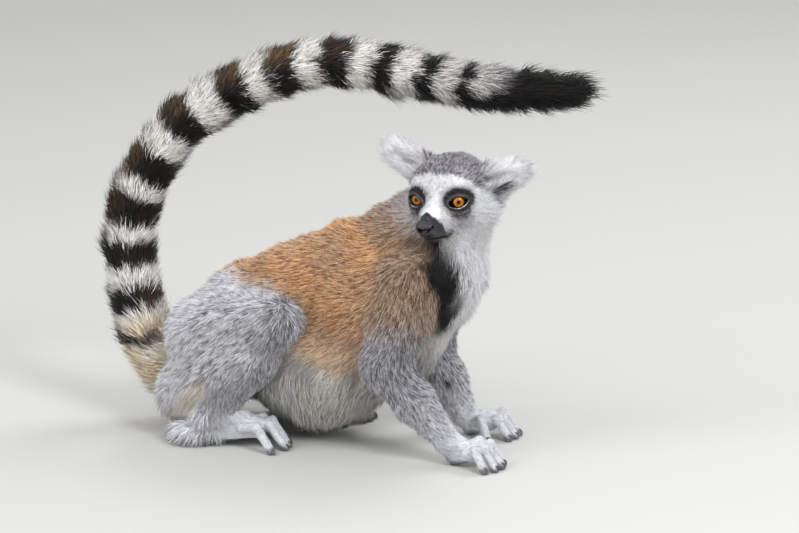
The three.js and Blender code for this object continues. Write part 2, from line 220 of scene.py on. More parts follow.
@dataclass(frozen=True)
class HeadPose:
    """Where the head is and how it is turned: right round to the right and a little down."""

    centre: tuple[float, float, float] = (52.0, -6.0, 236.0)
    yaw: float = -94.0
    pitch: float = -4.0
    roll: float = 3.0

    def axes(self) -> Array:
        """The head's forward, left and up directions, as columns.

        Returns:
            The directions.
        """
        yaw, pitch, roll = (math.radians(angle) for angle in (self.yaw, -self.pitch, self.roll))
        turn = np.array(
            ((math.cos(yaw), -math.sin(yaw), 0), (math.sin(yaw), math.cos(yaw), 0), (0, 0, 1))
        )
        nod = np.array(
            ((math.cos(pitch), 0, math.sin(pitch)), (0, 1, 0), (-math.sin(pitch), 0, math.cos(pitch)))
        )
        tilt = np.array(
            ((1, 0, 0), (0, math.cos(roll), -math.sin(roll)), (0, math.sin(roll), math.cos(roll)))
        )
        return turn @ nod @ tilt

    def place(self, forward: float, left: float, up: float) -> Array:
        """A point of the head, from millimetres forward, left and up of its centre."""
        return mm(*self.centre) + self.axes() @ mm(forward, left, up)

    def direction(self, forward: float, left: float, up: float) -> Array:
        """A direction of the head, given in the same way."""
        return unit(self.axes() @ np.array((forward, left, up), dtype=float))

    def local(self, points: Array) -> Array:
        """Points in the head's own millimetres: forward, left and up of its centre."""
        return (points - mm(*self.centre)) @ self.axes() / MM


class TailLine:
    """The tail's middle line, a smooth curve through a few points."""

    POINTS = (
        (-206, -2, 46), (-238, 1, 68), (-259, 4, 107), (-266, 7, 152), (-264, 9, 195), (-246, 12, 239),
        (-211, 15, 281), (-161, 18, 313), (-111, 21, 334), (-61, 24, 342), (-9, 27, 336), (37, 29, 330),
        (84, 32, 326), (130, 35, 326), (172, 38, 331),
    )
    RADII = (34, 34, 32, 31, 30, 29, 28, 27, 26, 26, 26, 27, 27, 23, 11)  # out to the tips of the coat
    STEPS = 3  # cones in each span between two points

    def __init__(self) -> None:
        """Samples the curve and measures along it."""
        points = np.array(self.POINTS, dtype=float) * MM
        last = len(points) - 1
        shares = np.linspace(0.0, last, last * self.STEPS + 1)
        self.points = np.array([self._at(points, share) for share in shares])
        self.radii = np.interp(shares, np.arange(last + 1), self.RADII) * MM
        steps = np.linalg.norm(np.diff(self.points, axis=0), axis=1)
        self.lengths = np.concatenate(((0.0,), np.cumsum(steps)))

    @staticmethod
    def _at(points: Array, place: float) -> Array:
        """A point of the centripetal Catmull-Rom curve.

        Args:
            points: The points that the curve passes through.
            place: The number of spans from the first point.

        Returns:
            The point there.
        """
        last = len(points) - 1
        span = min(int(place), last - 1)
        share = place - span
        before = points[span - 1] if span > 0 else 2 * points[0] - points[1]
        after = points[span + 2] if span + 2 <= last else 2 * points[last] - points[last - 1]
        here, there = points[span], points[span + 1]
        gaps = [math.sqrt(np.linalg.norm(b - a)) for a, b in ((before, here), (here, there), (there, after))]
        leave = (here - before) / gaps[0] - (there - before) / (gaps[0] + gaps[1]) + (there - here) / gaps[1]
        reach = (there - here) / gaps[1] - (after - here) / (gaps[1] + gaps[2]) + (after - there) / gaps[2]
        leave = leave * gaps[1]
        reach = reach * gaps[1]
        square = -3 * here + 3 * there - 2 * leave - reach
        cube = 2 * here - 2 * there + leave + reach
        return here + leave * share + square * share**2 + cube * share**3

    def measure(self, points: Array) -> tuple[Array, Array]:
        """Where points lie along the tail.

        Args:
            points: Points near the tail.

        Returns:
            The length along the tail's middle line in millimetres, and each point's offset from it.
        """
        best = np.full(len(points), FAR)
        length = np.zeros(len(points))
        offset = np.zeros_like(points)
        for index in range(len(self.points) - 1):
            start, end = self.points[index], self.points[index + 1]
            along = end - start
            share = np.clip((points - start) @ along / (along @ along), 0.0, 1.0)
            away = points - start - share[:, None] * along
            distance = np.linalg.norm(away, axis=1)
            nearer = distance < best
            best[nearer] = distance[nearer]
            length[nearer] = mix(self.lengths[index], self.lengths[index + 1], share[nearer])
            offset[nearer] = away[nearer]
        return length / MM, offset


@dataclass(frozen=True)
class Digit:
    """A finger or toe, from its root over its joint to its tip, with the way it points."""

    root: Array
    joint: Array
    tip: Array
    reach: Array
    part: Part
    grooming: bool = False


@dataclass(frozen=True)
class EyePlace:
    """An eye's centre, its socket's directions out, across and up, and the way the eye looks."""

    centre: Array
    gaze: Array
    across: Array
    up: Array
    look: Array
    half_width: float = 8.6  # the opening between the lids, in millimetres
    above: float = 4.9
    below: float = 5.2
    shift_across: float = 0.6
    shift_up: float = -0.9
    tilt: float = math.radians(9.0)  # the inner corner is the lower one
    power: float = 1.65  # below 2 the opening narrows to corners

    def rim(self, points: Array) -> tuple[Array, Array, Array]:
        """Where points lie round the opening between the lids.

        Args:
            points: Points in the body's own metres.

        Returns:
            In millimetres, how far each is outside the lids' edge, how far up and how far out.
        """
        offset = (points - self.centre) / MM
        across = offset @ self.across - self.shift_across
        rise = offset @ self.up - self.shift_up
        along = across * math.cos(self.tilt) + rise * math.sin(self.tilt)
        up = rise * math.cos(self.tilt) - across * math.sin(self.tilt)
        tall = np.where(up > 0, self.above, self.below)
        ring = (np.abs(along / self.half_width) ** self.power + np.abs(up / tall) ** self.power)
        ring = np.maximum(ring ** (1.0 / self.power), 1e-4)
        return np.hypot(along, up) * (1.0 - 1.0 / ring), up, offset @ self.gaze


BACK_COAT = CoatStyle(length=11.8, lift=28, width=0.66, density=1.95, clump=0.22)
BELLY_COAT = CoatStyle(length=24, lift=20, width=0.85, density=0.95, clump=0.42)
CHEST_COAT = CoatStyle(length=22, lift=28, width=0.85, density=1.2, clump=0.5)
NAPE_COAT = CoatStyle(length=12.5, lift=30, width=0.66, density=1.9, clump=0.25)
SHOULDER_COAT = CoatStyle(length=11, lift=26, width=0.66, density=1.8, clump=0.22)
ARM_COAT = CoatStyle(length=8.4, lift=26, width=0.6, density=2.0, clump=0.2)
WRIST_COAT = CoatStyle(length=6.5, lift=20, width=0.5, density=2.2, clump=0.2)
HAND_COAT = CoatStyle(length=4.6, lift=17, width=0.46, density=1.7, clump=0.1)
DIGIT_COAT = CoatStyle(length=3.0, lift=13, width=0.42, density=1.8, clump=0.1)
THIGH_COAT = CoatStyle(length=10.8, lift=28, width=0.64, density=1.7, clump=0.25)
SHIN_COAT = CoatStyle(length=8.8, lift=26, width=0.6, density=1.9, clump=0.2)
TAIL_COAT = CoatStyle(length=22, lift=38, width=0.64, density=1.38, clump=0.22)
HEAD_COAT = CoatStyle(length=7, lift=28, width=0.5, density=2.6, clump=0.25)
EAR_COAT = CoatStyle(length=14, lift=24, width=0.55, density=2.4, clump=0.4)


class Anatomy:
    """The animal's shape as round cones that flow into each other, and the places on it."""

    PELVIS = mm(-182, 0, 82)
    LOIN = mm(-137, 0, 97)
    BELLY = mm(-79, 0, 98)
    THORAX = mm(-24, 0, 130)
    CHEST = mm(24, 0, 153)
    NECK_BASE = mm(38, 0, 178)
    NECK_TOP = mm(48, -2, 214)
    NAPE = mm(0, 0, 193)
    EYE_FORWARD, EYE_SIDE, EYE_UP, EYE_RADIUS = 27.5, 18.0, 1.5, 8.7
    SOCKET_SPREAD, SOCKET_RISE = 20.0, 6.0  # degrees off the head's own forward direction
    LOOKS = {RIGHT: (5.0, 8.5), LEFT: (26.0, 1.0)}  # each eye's own spread and rise, for a glance aside
    EAR_HEIGHTS = {RIGHT: (19, 18), LEFT: (9, 10)}  # each ear's root above the head's centre, and its rise
    TAIL_BRUSH = 2  # steps at the tail's end that are hair alone
    PRESS = 0.9  # how far a pad would sink below the floor before it is flattened
    FLOOR_GAP = 0.15

    def __init__(self) -> None:
        """Builds the cones of every part."""
        self.head = HeadPose()
        self.tail = TailLine()
        self.cones: list[RoundCone] = []
        self.digits: list[Digit] = []
        self._trunk()
        self._head()
        for side in (RIGHT, LEFT):
            self._ear(side)
            self._arm(side)
            self._leg(side)
        self._tail()
        self.eyes = [self._eye(side) for side in (RIGHT, LEFT)]
        low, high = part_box("eye_right")
        middle = (np.array(low) + np.array(high)) / 2.0
        self.origin = middle - self.eyes[0].centre
        self.face = Face(self)

    def _cone(
        self, part: Part, start: Array, end: Array, radii: tuple[float, float], depth: tuple[float, float],
        style: CoatStyle, blend: float = 8, lie: Array | None = None, thin: Array = SIDEWAYS,
        flatness: float = 1.0,
    ) -> None:
        """Adds a cone of skin.

        Args:
            part: The part it belongs to.
            start: Its first end, in metres.
            end: Its second end.
            radii: Its two outer radii, out to the tips of the coat, in millimetres.
            depth: The depth of the coat at the two ends, in millimetres.
            style: How its hair grows.
            blend: The width over which it flows into the cones before it, in millimetres.
            lie: The way its hair points, or None for from start to end.
            thin: The direction along which it is flattened.
            flatness: How much thinner it is along that direction.
        """
        lie = unit(end - start) if lie is None else unit(lie)
        cone = RoundCone(
            part, start, end, (radii[0] - depth[0]) * MM, (radii[1] - depth[1]) * MM, lie, style,
            blend * MM, unit(thin), flatness,
        )
        self.cones.append(cone)

    def _trunk(self) -> None:
        """Trunk, chest and neck, with the hair lying towards the tail."""
        rearward = np.array((-1.0, 0.0, -0.35))
        lift = mm(0, 0, 2)
        part = Part.TRUNK
        self._cone(part, self.PELVIS, self.LOIN, (47, 67), (11, 12), BACK_COAT, 12, rearward, flatness=1.05)
        self._cone(part, self.LOIN, self.BELLY + lift, (67, 91), (12, 14), BACK_COAT, 12, rearward,
                   flatness=1.35)
        self._cone(part, self.BELLY + lift, self.THORAX, (91, 84), (14, 13), BACK_COAT, 12, rearward,
                   flatness=1.4)
        self._cone(part, self.THORAX, self.CHEST, (84, 60), (13, 13), BACK_COAT, 12, rearward, flatness=1.25)
        down_neck = self.NECK_BASE - self.NECK_TOP
        self._cone(Part.NECK, self.NECK_BASE, self.NECK_TOP, (52, 42), (13, 12), CHEST_COAT, 14, down_neck,
                   flatness=1.1)
        self._cone(Part.NECK, self.NAPE, self.NECK_TOP, (38, 42), (11, 12), NAPE_COAT, 14,
                   self.NAPE - self.NECK_TOP)

    def _head(self) -> None:
        """Skull, cheeks, brow, fox-like muzzle and jaw."""
        place = self.head.place
        back = self.head.direction(-1.0, 0.0, 0.3)
        part = Part.HEAD
        self._cone(part, place(-9, 0, 2), place(0, 0, 3), (36.5, 36.5), (6, 5), HEAD_COAT, 8, back)
        self._cone(part, place(7, 15, -11), place(8, -13, -11), (26, 26), (6, 6), HEAD_COAT, 10, back)
        self._cone(part, place(15, 13, 14), place(15, -13, 14), (18, 18), (3.2, 3.2), HEAD_COAT, 8, back)
        self._cone(part, place(26, 0, -9), place(55, 0, -18.5), (20, 9.6), (3.2, 0.7), HEAD_COAT, 10, back)
        self._cone(part, place(24, 0, 0), place(59, 0, -12.0), (12, 6.0), (3.0, 0.3), HEAD_COAT, 6, back)
        self._cone(part, place(14, 0, -20), place(50, 0, -26.5), (18, 6.8), (4.5, 0.8), HEAD_COAT, 5, back)
        for side in (RIGHT, LEFT):
            lip = place(51, side * 4, -20.5)
            corner = place(36, side * 7.5, -24.5)
            self._cone(part, corner, lip, (6.8, 6.2), (0.6, 0.3), HEAD_COAT, 4, back)
        pad = place(61.2, 2.7, -15.5), place(61.2, -2.7, -15.5)
        self._cone(part, *pad, (5.9, 5.9), (0, 0), HEAD_COAT, 4, back)

    def _ear(self, side: float) -> None:
        """One ear, a leaf from its broad root to a blunt tip.

        Args:
            side: Which side of the head it is on.
        """
        up, rise = self.EAR_HEIGHTS[side]
        root = self.head.place(-6, side * 30, up)
        tip = self.head.place(-12.5, side * (54 if side == RIGHT else 52), up + rise * 0.74)
        forward = self.head.direction(1.0, side * 0.25, 0.0)
        self._cone(Part.EARS, root, tip, (18, 13.5), (3.0, 3.5), EAR_COAT, 4, thin=forward, flatness=2.3)

    def _arm(self, side: float) -> None:
        """One arm with its hand.

        Args:
            side: Which side of the body it is on.
        """
        if side == RIGHT:
            part, hand = Part.ARM_RIGHT, Part.HAND_RIGHT
            shoulder, elbow, wrist, heading = mm(26, -38, 158), mm(8, -58, 84), mm(67, -56, 19), -8.0
        else:
            part, hand = Part.ARM_LEFT, Part.HAND_LEFT
            shoulder, elbow, wrist, heading = mm(22, 38, 152), mm(12, 48, 80), mm(46, 46, 18), 4.0
        middle = mix(elbow, wrist, 0.45)
        self._cone(part, shoulder, elbow, (37, 25), (10, 7), SHOULDER_COAT, 16)
        self._cone(part, elbow, middle, (25, 21), (7, 6), ARM_COAT, 8)
        self._cone(part, middle, wrist, (21, 12), (6, 3.2), ARM_COAT, 8)
        fingers = (
            (-9.5, -14, 21, 4), (-3.3, -4, 24, 4), (3.3, 6, 24, 4), (9.5, 18, 19, 4), (-8, -50, 14, 14),
        )
        reach = heading_vector(heading)
        front = wrist + reach * 26 * MM
        front[2] = 15 * MM
        pad_back = wrist + reach * 6 * MM
        pad_back[2] = (7.5 - self.PRESS) * MM
        self._paw(hand, side, heading, (wrist, front), (12, 9), 1.25, (pad_back, 7.5, 11), 18, 14, fingers)

    def _leg(self, side: float) -> None:
        """One folded leg with its foot.

        Args:
            side: Which side of the body it is on.
        """
        hip = mm(-172, side * 34, 92)
        if side == RIGHT:
            parts = (Part.THIGH_RIGHT, Part.SHIN_RIGHT, Part.FOOT_RIGHT)
            knee, ankle, heading = mm(-92, -74, 122), mm(-156, -64, 30), 3.0
        else:
            parts = (Part.THIGH_LEFT, Part.SHIN_LEFT, Part.FOOT_LEFT)
            knee, ankle, heading = mm(-92, 74, 120), mm(-120, 60, 28), 2.0
        thigh, shin, foot = parts
        seat = hip + mm(-15, side * 8, -46)
        fold = mix(knee, ankle, 0.5) + mm(-12, 0, 0)
        downward = np.array((-0.55, 0.0, -1.0))
        self._cone(thigh, hip, knee, (46, 28), (11, 7), THIGH_COAT, 16, downward)
        self._cone(thigh, seat, fold, (36, 31), (11, 8), THIGH_COAT, 16, downward)
        shin_top = mix(knee, ankle, 0.15)
        calf = mix(knee, ankle, 0.4)
        self._cone(shin, shin_top, calf, (24, 29), (6, 8), SHIN_COAT, 10)
        self._cone(shin, calf, ankle, (29, 16), (8, 4), SHIN_COAT, 10)
        reach = heading_vector(heading)
        heel = ankle - reach * 22 * MM
        heel[2] = 8.5 * MM
        ball = ankle + reach * 42 * MM
        ball[2] = 19 * MM
        self._cone(foot, ankle, ball, (16, 9), (4, 1.8), WRIST_COAT, 6)
        toes = (
            (-8.5, -9, 24, 4), (-3, -3, 27, 4), (3, 4, 28, 4), (10, 20, 22, 12), (-8, -38, 20, 16),
        )
        pad_back = heel.copy()
        pad_back[2] = (8.5 - self.PRESS) * MM
        self._paw(foot, side, heading, (heel, ball), (10, 9), 1.2, (pad_back, 8.5, 15), 15, 12, toes)

    def _paw(
        self, part: Part, side: float, heading: float, ends: tuple[Array, Array], radii: tuple[float, float],
        flatness: float, pad: tuple[Array, float, float], width: float, bow: float,
        digits: tuple[tuple[float, float, float, float], ...],
    ) -> None:
        """A palm or sole with its five digits.

        Args:
            part: The hand or foot.
            side: Which side of the body it is on.
            heading: The way it points, in degrees to the left of ahead.
            ends: Its back and its front, in metres.
            radii: Its outer radii there, in millimetres.
            flatness: How much flatter than round it is.
            pad: The back of the pad under it, the pad's radius and its height at the front.
            width: The width across its front.
            bow: How high each digit bows.
            digits: For each digit its offset across, its turn, its length and how far back it starts.
        """
        back, front = ends
        reach = heading_vector(heading)
        across = heading_vector(heading + 90.0)
        pad_back, pad_radius, pad_height = pad
        pad_front = front.copy()
        pad_front[2] = pad_height * MM
        half = across * side * width / 2 * MM
        self._cone(part, pad_back, pad_front, (pad_radius, 6.5), (1.0, 1.0), HAND_COAT, 6)
        self._cone(part, back, front, radii, (1.8, 1.8), HAND_COAT, 6, thin=UP, flatness=flatness)
        knuckles = front - half, front + half
        self._cone(part, *knuckles, (6.5, 6.5), (1.2, 1.2), HAND_COAT, 6, reach, UP, flatness)
        for index, (offset, turn, length, set_back) in enumerate(digits):
            way = heading_vector(heading + turn * side)
            root = front + (across * offset * side - reach * set_back) * MM
            joint = root + way * (length + set_back) * 0.5 * MM + UP * bow * 0.3 * MM
            tip = root + way * (length + set_back) * MM
            tip[2] = (3.9 - self.PRESS - 0.4) * MM
            self._cone(part, root, joint, (5.2, 4.55), (1.2, 1.0), DIGIT_COAT, 3)
            self._cone(part, joint, tip, (4.55, 3.9), (1.0, 0.5), DIGIT_COAT, 3)
            grooming = part in (Part.FOOT_RIGHT, Part.FOOT_LEFT) and index == 0
            self.digits.append(Digit(root, joint, tip, unit(tip - joint), part, grooming))

    def _tail(self) -> None:
        """The tail's slim core under its bushy coat."""
        core = np.interp(self.tail.lengths / MM, (0, 60, 200, 560, 675), (17, 14, 12.5, 10, 3.5))
        outer = self.tail.radii / MM
        for index in range(len(core) - 1 - self.TAIL_BRUSH):
            start, end = self.tail.points[index], self.tail.points[index + 1]
            radii = (outer[index], outer[index + 1])
            depth = (outer[index] - core[index], outer[index + 1] - core[index + 1])
            self._cone(Part.TAIL, start, end, radii, depth, TAIL_COAT, 12 if index < 3 else 2)

    def _eye(self, side: float) -> EyePlace:
        """The place of one eye and the way it looks.

        Args:
            side: Which side of the head it is on.

        Returns:
            The eye's place.
        """
        centre = self.head.place(self.EYE_FORWARD, side * self.EYE_SIDE, self.EYE_UP)
        gaze = self._aim(side, self.SOCKET_SPREAD, self.SOCKET_RISE)
        across = unit(np.cross(self.head.direction(0, 0, 1), gaze)) * side
        up = unit(np.cross(gaze, across)) * side
        return EyePlace(centre, gaze, across, up, self._aim(side, *self.LOOKS[side]))

    def _aim(self, side: float, spread: float, rise: float) -> Array:
        """A direction of the head, turned outward and up from forward by angles in degrees.

        Args:
            side: Which side of the head it is for.
            spread: The angle outward.
            rise: The angle up.

        Returns:
            The direction.
        """
        turn, lift = math.radians(spread), math.radians(rise)
        return self.head.direction(
            math.cos(turn) * math.cos(lift), side * math.sin(turn) * math.cos(lift), math.sin(lift)
        )

    def neighbours(self, points: Array, margin: float) -> list[Array]:
        """For each cone, the numbers of the points that lie near enough for it to count.

        Args:
            points: Points in the body's own metres.
            margin: How far beyond a cone's blend a point still counts.

        Returns:
            The points' numbers, cone by cone.
        """
        near = []
        for cone in self.cones:
            low, high = cone.corners(cone.blend + margin)
            close = np.flatnonzero((points[:, 0] > low[0]) & (points[:, 0] < high[0]))
            there = points[close]
            inside = (there[:, 1] > low[1]) & (there[:, 1] < high[1])
            inside &= (there[:, 2] > low[2]) & (there[:, 2] < high[2])
            near.append(close[inside])
        return near

    def distance(self, points: Array, neighbours: list[Array]) -> Array:
        """The signed distance from points to the skin, negative inside.

        Args:
            points: Points in the body's own metres.
            neighbours: The points near each cone.

        Returns:
            The distance of each, exact near the surface.
        """
        distance = np.full(len(points), FAR)
        for cone, near in zip(self.cones, neighbours):
            if len(near):
                distance[near] = melt(distance[near], cone.distance(points[near]), cone.blend)
        distance = self.face.shape(points, distance)
        return carve(distance, points[:, 2] - self.FLOOR_GAP * MM, 1.0 * MM)

    def weights(self, points: Array, softness: float = 6 * MM) -> Array:
        """How much each cone counts at points on the skin.

        Args:
            points: Points in the body's own metres.
            softness: The distance over which one cone gives way to the next.

        Returns:
            One row of weights for each point, each row adding up to one.
        """
        distances = np.full((len(points), len(self.cones)), FAR, dtype=np.float32)
        for index, near in enumerate(self.neighbours(points, 6 * softness)):
            if len(near):
                distances[near, index] = self.cones[index].distance(points[near])
        weights = np.exp(-(distances - distances.min(axis=1, keepdims=True)) / softness)
        return weights / weights.sum(axis=1, keepdims=True)


@dataclass(frozen=True)
class Face:
    """The fine forms of the face: orbits and lids, nostrils, mouth line, ear hollows."""

    anatomy: Anatomy
    orbit_radius: float = 13.2
    orbit_set_back: float = 3.5
    reach: float = 90.0  # how far from the middle of the head the face's forms go

    def shape(self, points: Array, distance: Array) -> Array:
        """Adds the fine forms to the skin.

        Args:
            points: Points in the body's own metres.
            distance: Their distances to the plain skin.

        Returns:
            Their distances to the finished skin.
        """
        middle = self.anatomy.head.place(10, 0, 0)
        near = np.flatnonzero(np.abs(points[:, 0] - middle[0]) < self.reach * MM)
        near = near[np.linalg.norm(points[near] - middle, axis=1) < self.reach * MM]
        if not len(near):
            return distance
        distance = distance.copy()
        shaped = self._orbits(points[near], distance[near])
        shaped = self._nose_and_mouth(points[near], shaped)
        distance[near] = self._ear_hollows(points[near], shaped)
        return distance

    def _orbits(self, points: Array, distance: Array) -> Array:
        """Raises the rims round the eyes and opens the lids.

        Args:
            points: Points in the body's own metres.
            distance: Their distances to the skin so far.

        Returns:
            Their new distances.
        """
        for eye in self.anatomy.eyes:
            offset = points - eye.centre
            mound = np.linalg.norm(offset + eye.gaze * self.orbit_set_back * MM, axis=1)
            distance = melt(distance, mound - self.orbit_radius * MM, 8 * MM)
            edge, up, out = eye.rim(points)
            front = ramp(out, 0.0, 3.0)
            distance = carve(distance, np.maximum(edge, -out) * MM, 1.0 * MM)
            distance = distance - 0.45 * MM * np.exp(-(((edge - 1.5) / 1.1) ** 2)) * front
            crease = np.exp(-(((edge - 3.7) / 0.6) ** 2)) * ramp(up, -1.0, 2.0)
            fold = np.exp(-(((edge - 4.6) / 0.5) ** 2)) * ramp(up, -2.0, -4.5)
            distance = distance + (0.9 * crease + 0.35 * fold) * front * MM
        return distance

    def _nose_and_mouth(self, points: Array, distance: Array) -> Array:
        """Opens the nostrils and draws the philtrum and the line of the mouth.

        Args:
            points: Points in the body's own metres.
            distance: Their distances to the skin so far.

        Returns:
            Their new distances.
        """
        forward, left, up = self.anatomy.head.local(points).T
        place = np.stack((forward, left, up), axis=1)
        for side in (RIGHT, LEFT):
            nostril = self.nostril(place, side)
            distance = carve(distance, nostril * MM, 0.8 * MM)
            rim = np.exp(-(((nostril - 1.3) / 0.6) ** 2)) * ramp(forward, 56.0, 60.0)
            distance = distance - 0.4 * MM * rim * ramp(left * side, 1.5, 3.5)
        line = up - (-28.2 + (forward - 36.0) * 0.08)
        mouth = np.exp(-((line / 0.6) ** 2)) * ramp(forward, 33.0, 38.0)
        philtrum = np.exp(-((left / 0.6) ** 2)) * ramp(forward, 58.0, 62.0) * ramp(up, -14.0, -17.0)
        return distance + (mouth * 1.6 + philtrum * 0.8) * MM

    @staticmethod
    def nostril(place: Array, side: float) -> Array:
        """The distance of points of the head, in millimetres, from one nostril's comma.

        Args:
            place: Points of the head, in its own millimetres.
            side: Which side the nostril is on.

        Returns:
            The distances, negative inside.
        """
        start, turn = np.array((66.4, side * 2.2, -17.2)), np.array((62.5, side * 6.4, -14.0))
        end = np.array((60.0, side * 8.2, -16.6))
        distances = []
        for first, last, wide, narrow in ((start, turn, 2.1, 1.7), (turn, end, 1.7, 0.6)):
            along = last - first
            offset = place - first
            share = np.clip(offset @ along / (along @ along), 0.0, 1.0)
            away = np.linalg.norm(offset - share[:, None] * along, axis=1)
            distances.append(away - mix(wide, narrow, share))
        return np.minimum(*distances)

    def _ear_hollows(self, points: Array, distance: Array) -> Array:
        """Scoops the ears hollow on their forward and outward side.

        Args:
            points: Points in the body's own metres.
            distance: Their distances to the skin so far.

        Returns:
            Their new distances.
        """
        head = self.anatomy.head
        for side, (up, rise) in self.anatomy.EAR_HEIGHTS.items():
            root = head.place(-6, side * 34, up + rise * 0.12)
            tip = head.place(-12, side * 50, up + rise * 0.7)
            forward = head.direction(1.0, side * 0.25, 0.0)
            along = tip - root
            offset = points - (root + forward * 6.5 * MM)
            share = np.clip(offset @ along / (along @ along), 0.0, 1.0)
            hollow = np.linalg.norm(offset - share[:, None] * along, axis=1) - mix(8.0, 5.0, share) * MM
            distance = carve(distance, hollow, 2.0 * MM)
        return distance


# ---------------------------------------------------------------- markings
@dataclass(frozen=True)
class CoatColour:
    """The colours of one stretch of coat: most tufts are base, some light and some dark."""

    base: Array
    light: Array
    dark: Array
    grain: float  # the share of tufts that are light or dark

    def row(self) -> Array:
        """The colours and the grain as ten numbers, so that stretches can be blended."""
        return np.concatenate((self.base, self.light, self.dark, (self.grain,)))


TAN = CoatColour(colour(212, 145, 90), colour(246, 207, 160), colour(98, 60, 37), 1.0)
SHOULDER_BROWN = CoatColour(colour(152, 121, 98), colour(210, 187, 164), colour(68, 50, 40), 1.0)
SAND = CoatColour(colour(222, 190, 156), colour(244, 224, 200), colour(140, 104, 78), 0.8)
# The white of the belly and inner legs, painted darker grey as shade under the body.
SHADED_BELLY_WHITE = CoatColour(colour(184, 182, 177), colour(214, 213, 209), colour(138, 135, 130), 0.35)
GREY = CoatColour(colour(160, 158, 165), colour(228, 229, 234), colour(70, 66, 72), 1.0)
LIGHT_GREY = CoatColour(colour(210, 210, 216), colour(243, 243, 246), colour(104, 101, 108), 0.9)
SPECKLED = CoatColour(colour(158, 155, 161), colour(232, 232, 237), colour(50, 46, 50), 1.0)
DARK_GREY = CoatColour(colour(92, 88, 94), colour(150, 147, 154), colour(54, 50, 54), 0.6)
CREAM = CoatColour(colour(230, 220, 200), colour(246, 240, 228), colour(190, 174, 146), 0.5)
PALE = CoatColour(colour(222, 223, 228), colour(242, 243, 246), colour(176, 176, 184), 0.4)
CAP_GREY = CoatColour(colour(128, 124, 130), colour(216, 213, 220), colour(54, 48, 50), 1.0)
WHITE = CoatColour(colour(234, 234, 236), colour(247, 247, 248), colour(186, 186, 191), 0.45)
EAR_WHITE = CoatColour(colour(240, 240, 243), colour(251, 251, 252), colour(196, 196, 201), 0.4)
CHEEK_GREY = CoatColour(colour(196, 196, 202), colour(236, 236, 240), colour(120, 118, 126), 0.6)
BLACK = CoatColour(colour(13, 12, 14), colour(40, 38, 42), colour(6, 6, 7), 0.4)
NOSTRIL = CoatColour(colour(7, 6, 7), colour(10, 9, 10), colour(5, 5, 5), 0.0)
SLATE = CoatColour(colour(28, 28, 33), colour(56, 56, 66), colour(22, 22, 26), 0.3)
# A lighter slate band on the upper lid fold: painted highlight, the sky's reflection on the glossy lid.
LID_FOLD_HIGHLIGHT = CoatColour(colour(56, 59, 69), colour(96, 100, 112), colour(50, 52, 60), 0.2)
# A near-white line on the lower lid's rim: painted highlight, the reflection on the wet edge.
WET_RIM_HIGHLIGHT = CoatColour(colour(206, 208, 214), colour(230, 231, 234), colour(160, 162, 170), 0.0)
EYE_GREY = CoatColour(colour(104, 102, 108), colour(170, 170, 178), colour(44, 42, 46), 0.8)
RING_BLACK = CoatColour(colour(10, 8, 7), colour(34, 26, 20), colour(4, 4, 4), 0.35)
RING_BROWN = CoatColour(colour(88, 67, 46), colour(132, 106, 76), colour(40, 29, 20), 0.9)
BUFF = CoatColour(colour(204, 178, 136), colour(236, 220, 190), colour(84, 62, 42), 0.9)
RING_WHITE = CoatColour(colour(222, 220, 216), colour(246, 245, 243), colour(156, 150, 143), 0.6)


class Paint:
    """The colours of many points at once, laid one over another."""

    def __init__(self, count: int, ground: CoatColour) -> None:
        """Starts with one colour all over.

        Args:
            count: The number of points.
            ground: Their first colour.
        """
        self.rows = np.tile(ground.row(), (count, 1))

    def lay(self, layer: CoatColour, share: Array) -> "Paint":
        """Lays a colour over the points, each by its own share from 0 to 1."""
        self.rows = mix(self.rows, layer.row(), np.clip(share, 0.0, 1.0)[:, None])
        return self


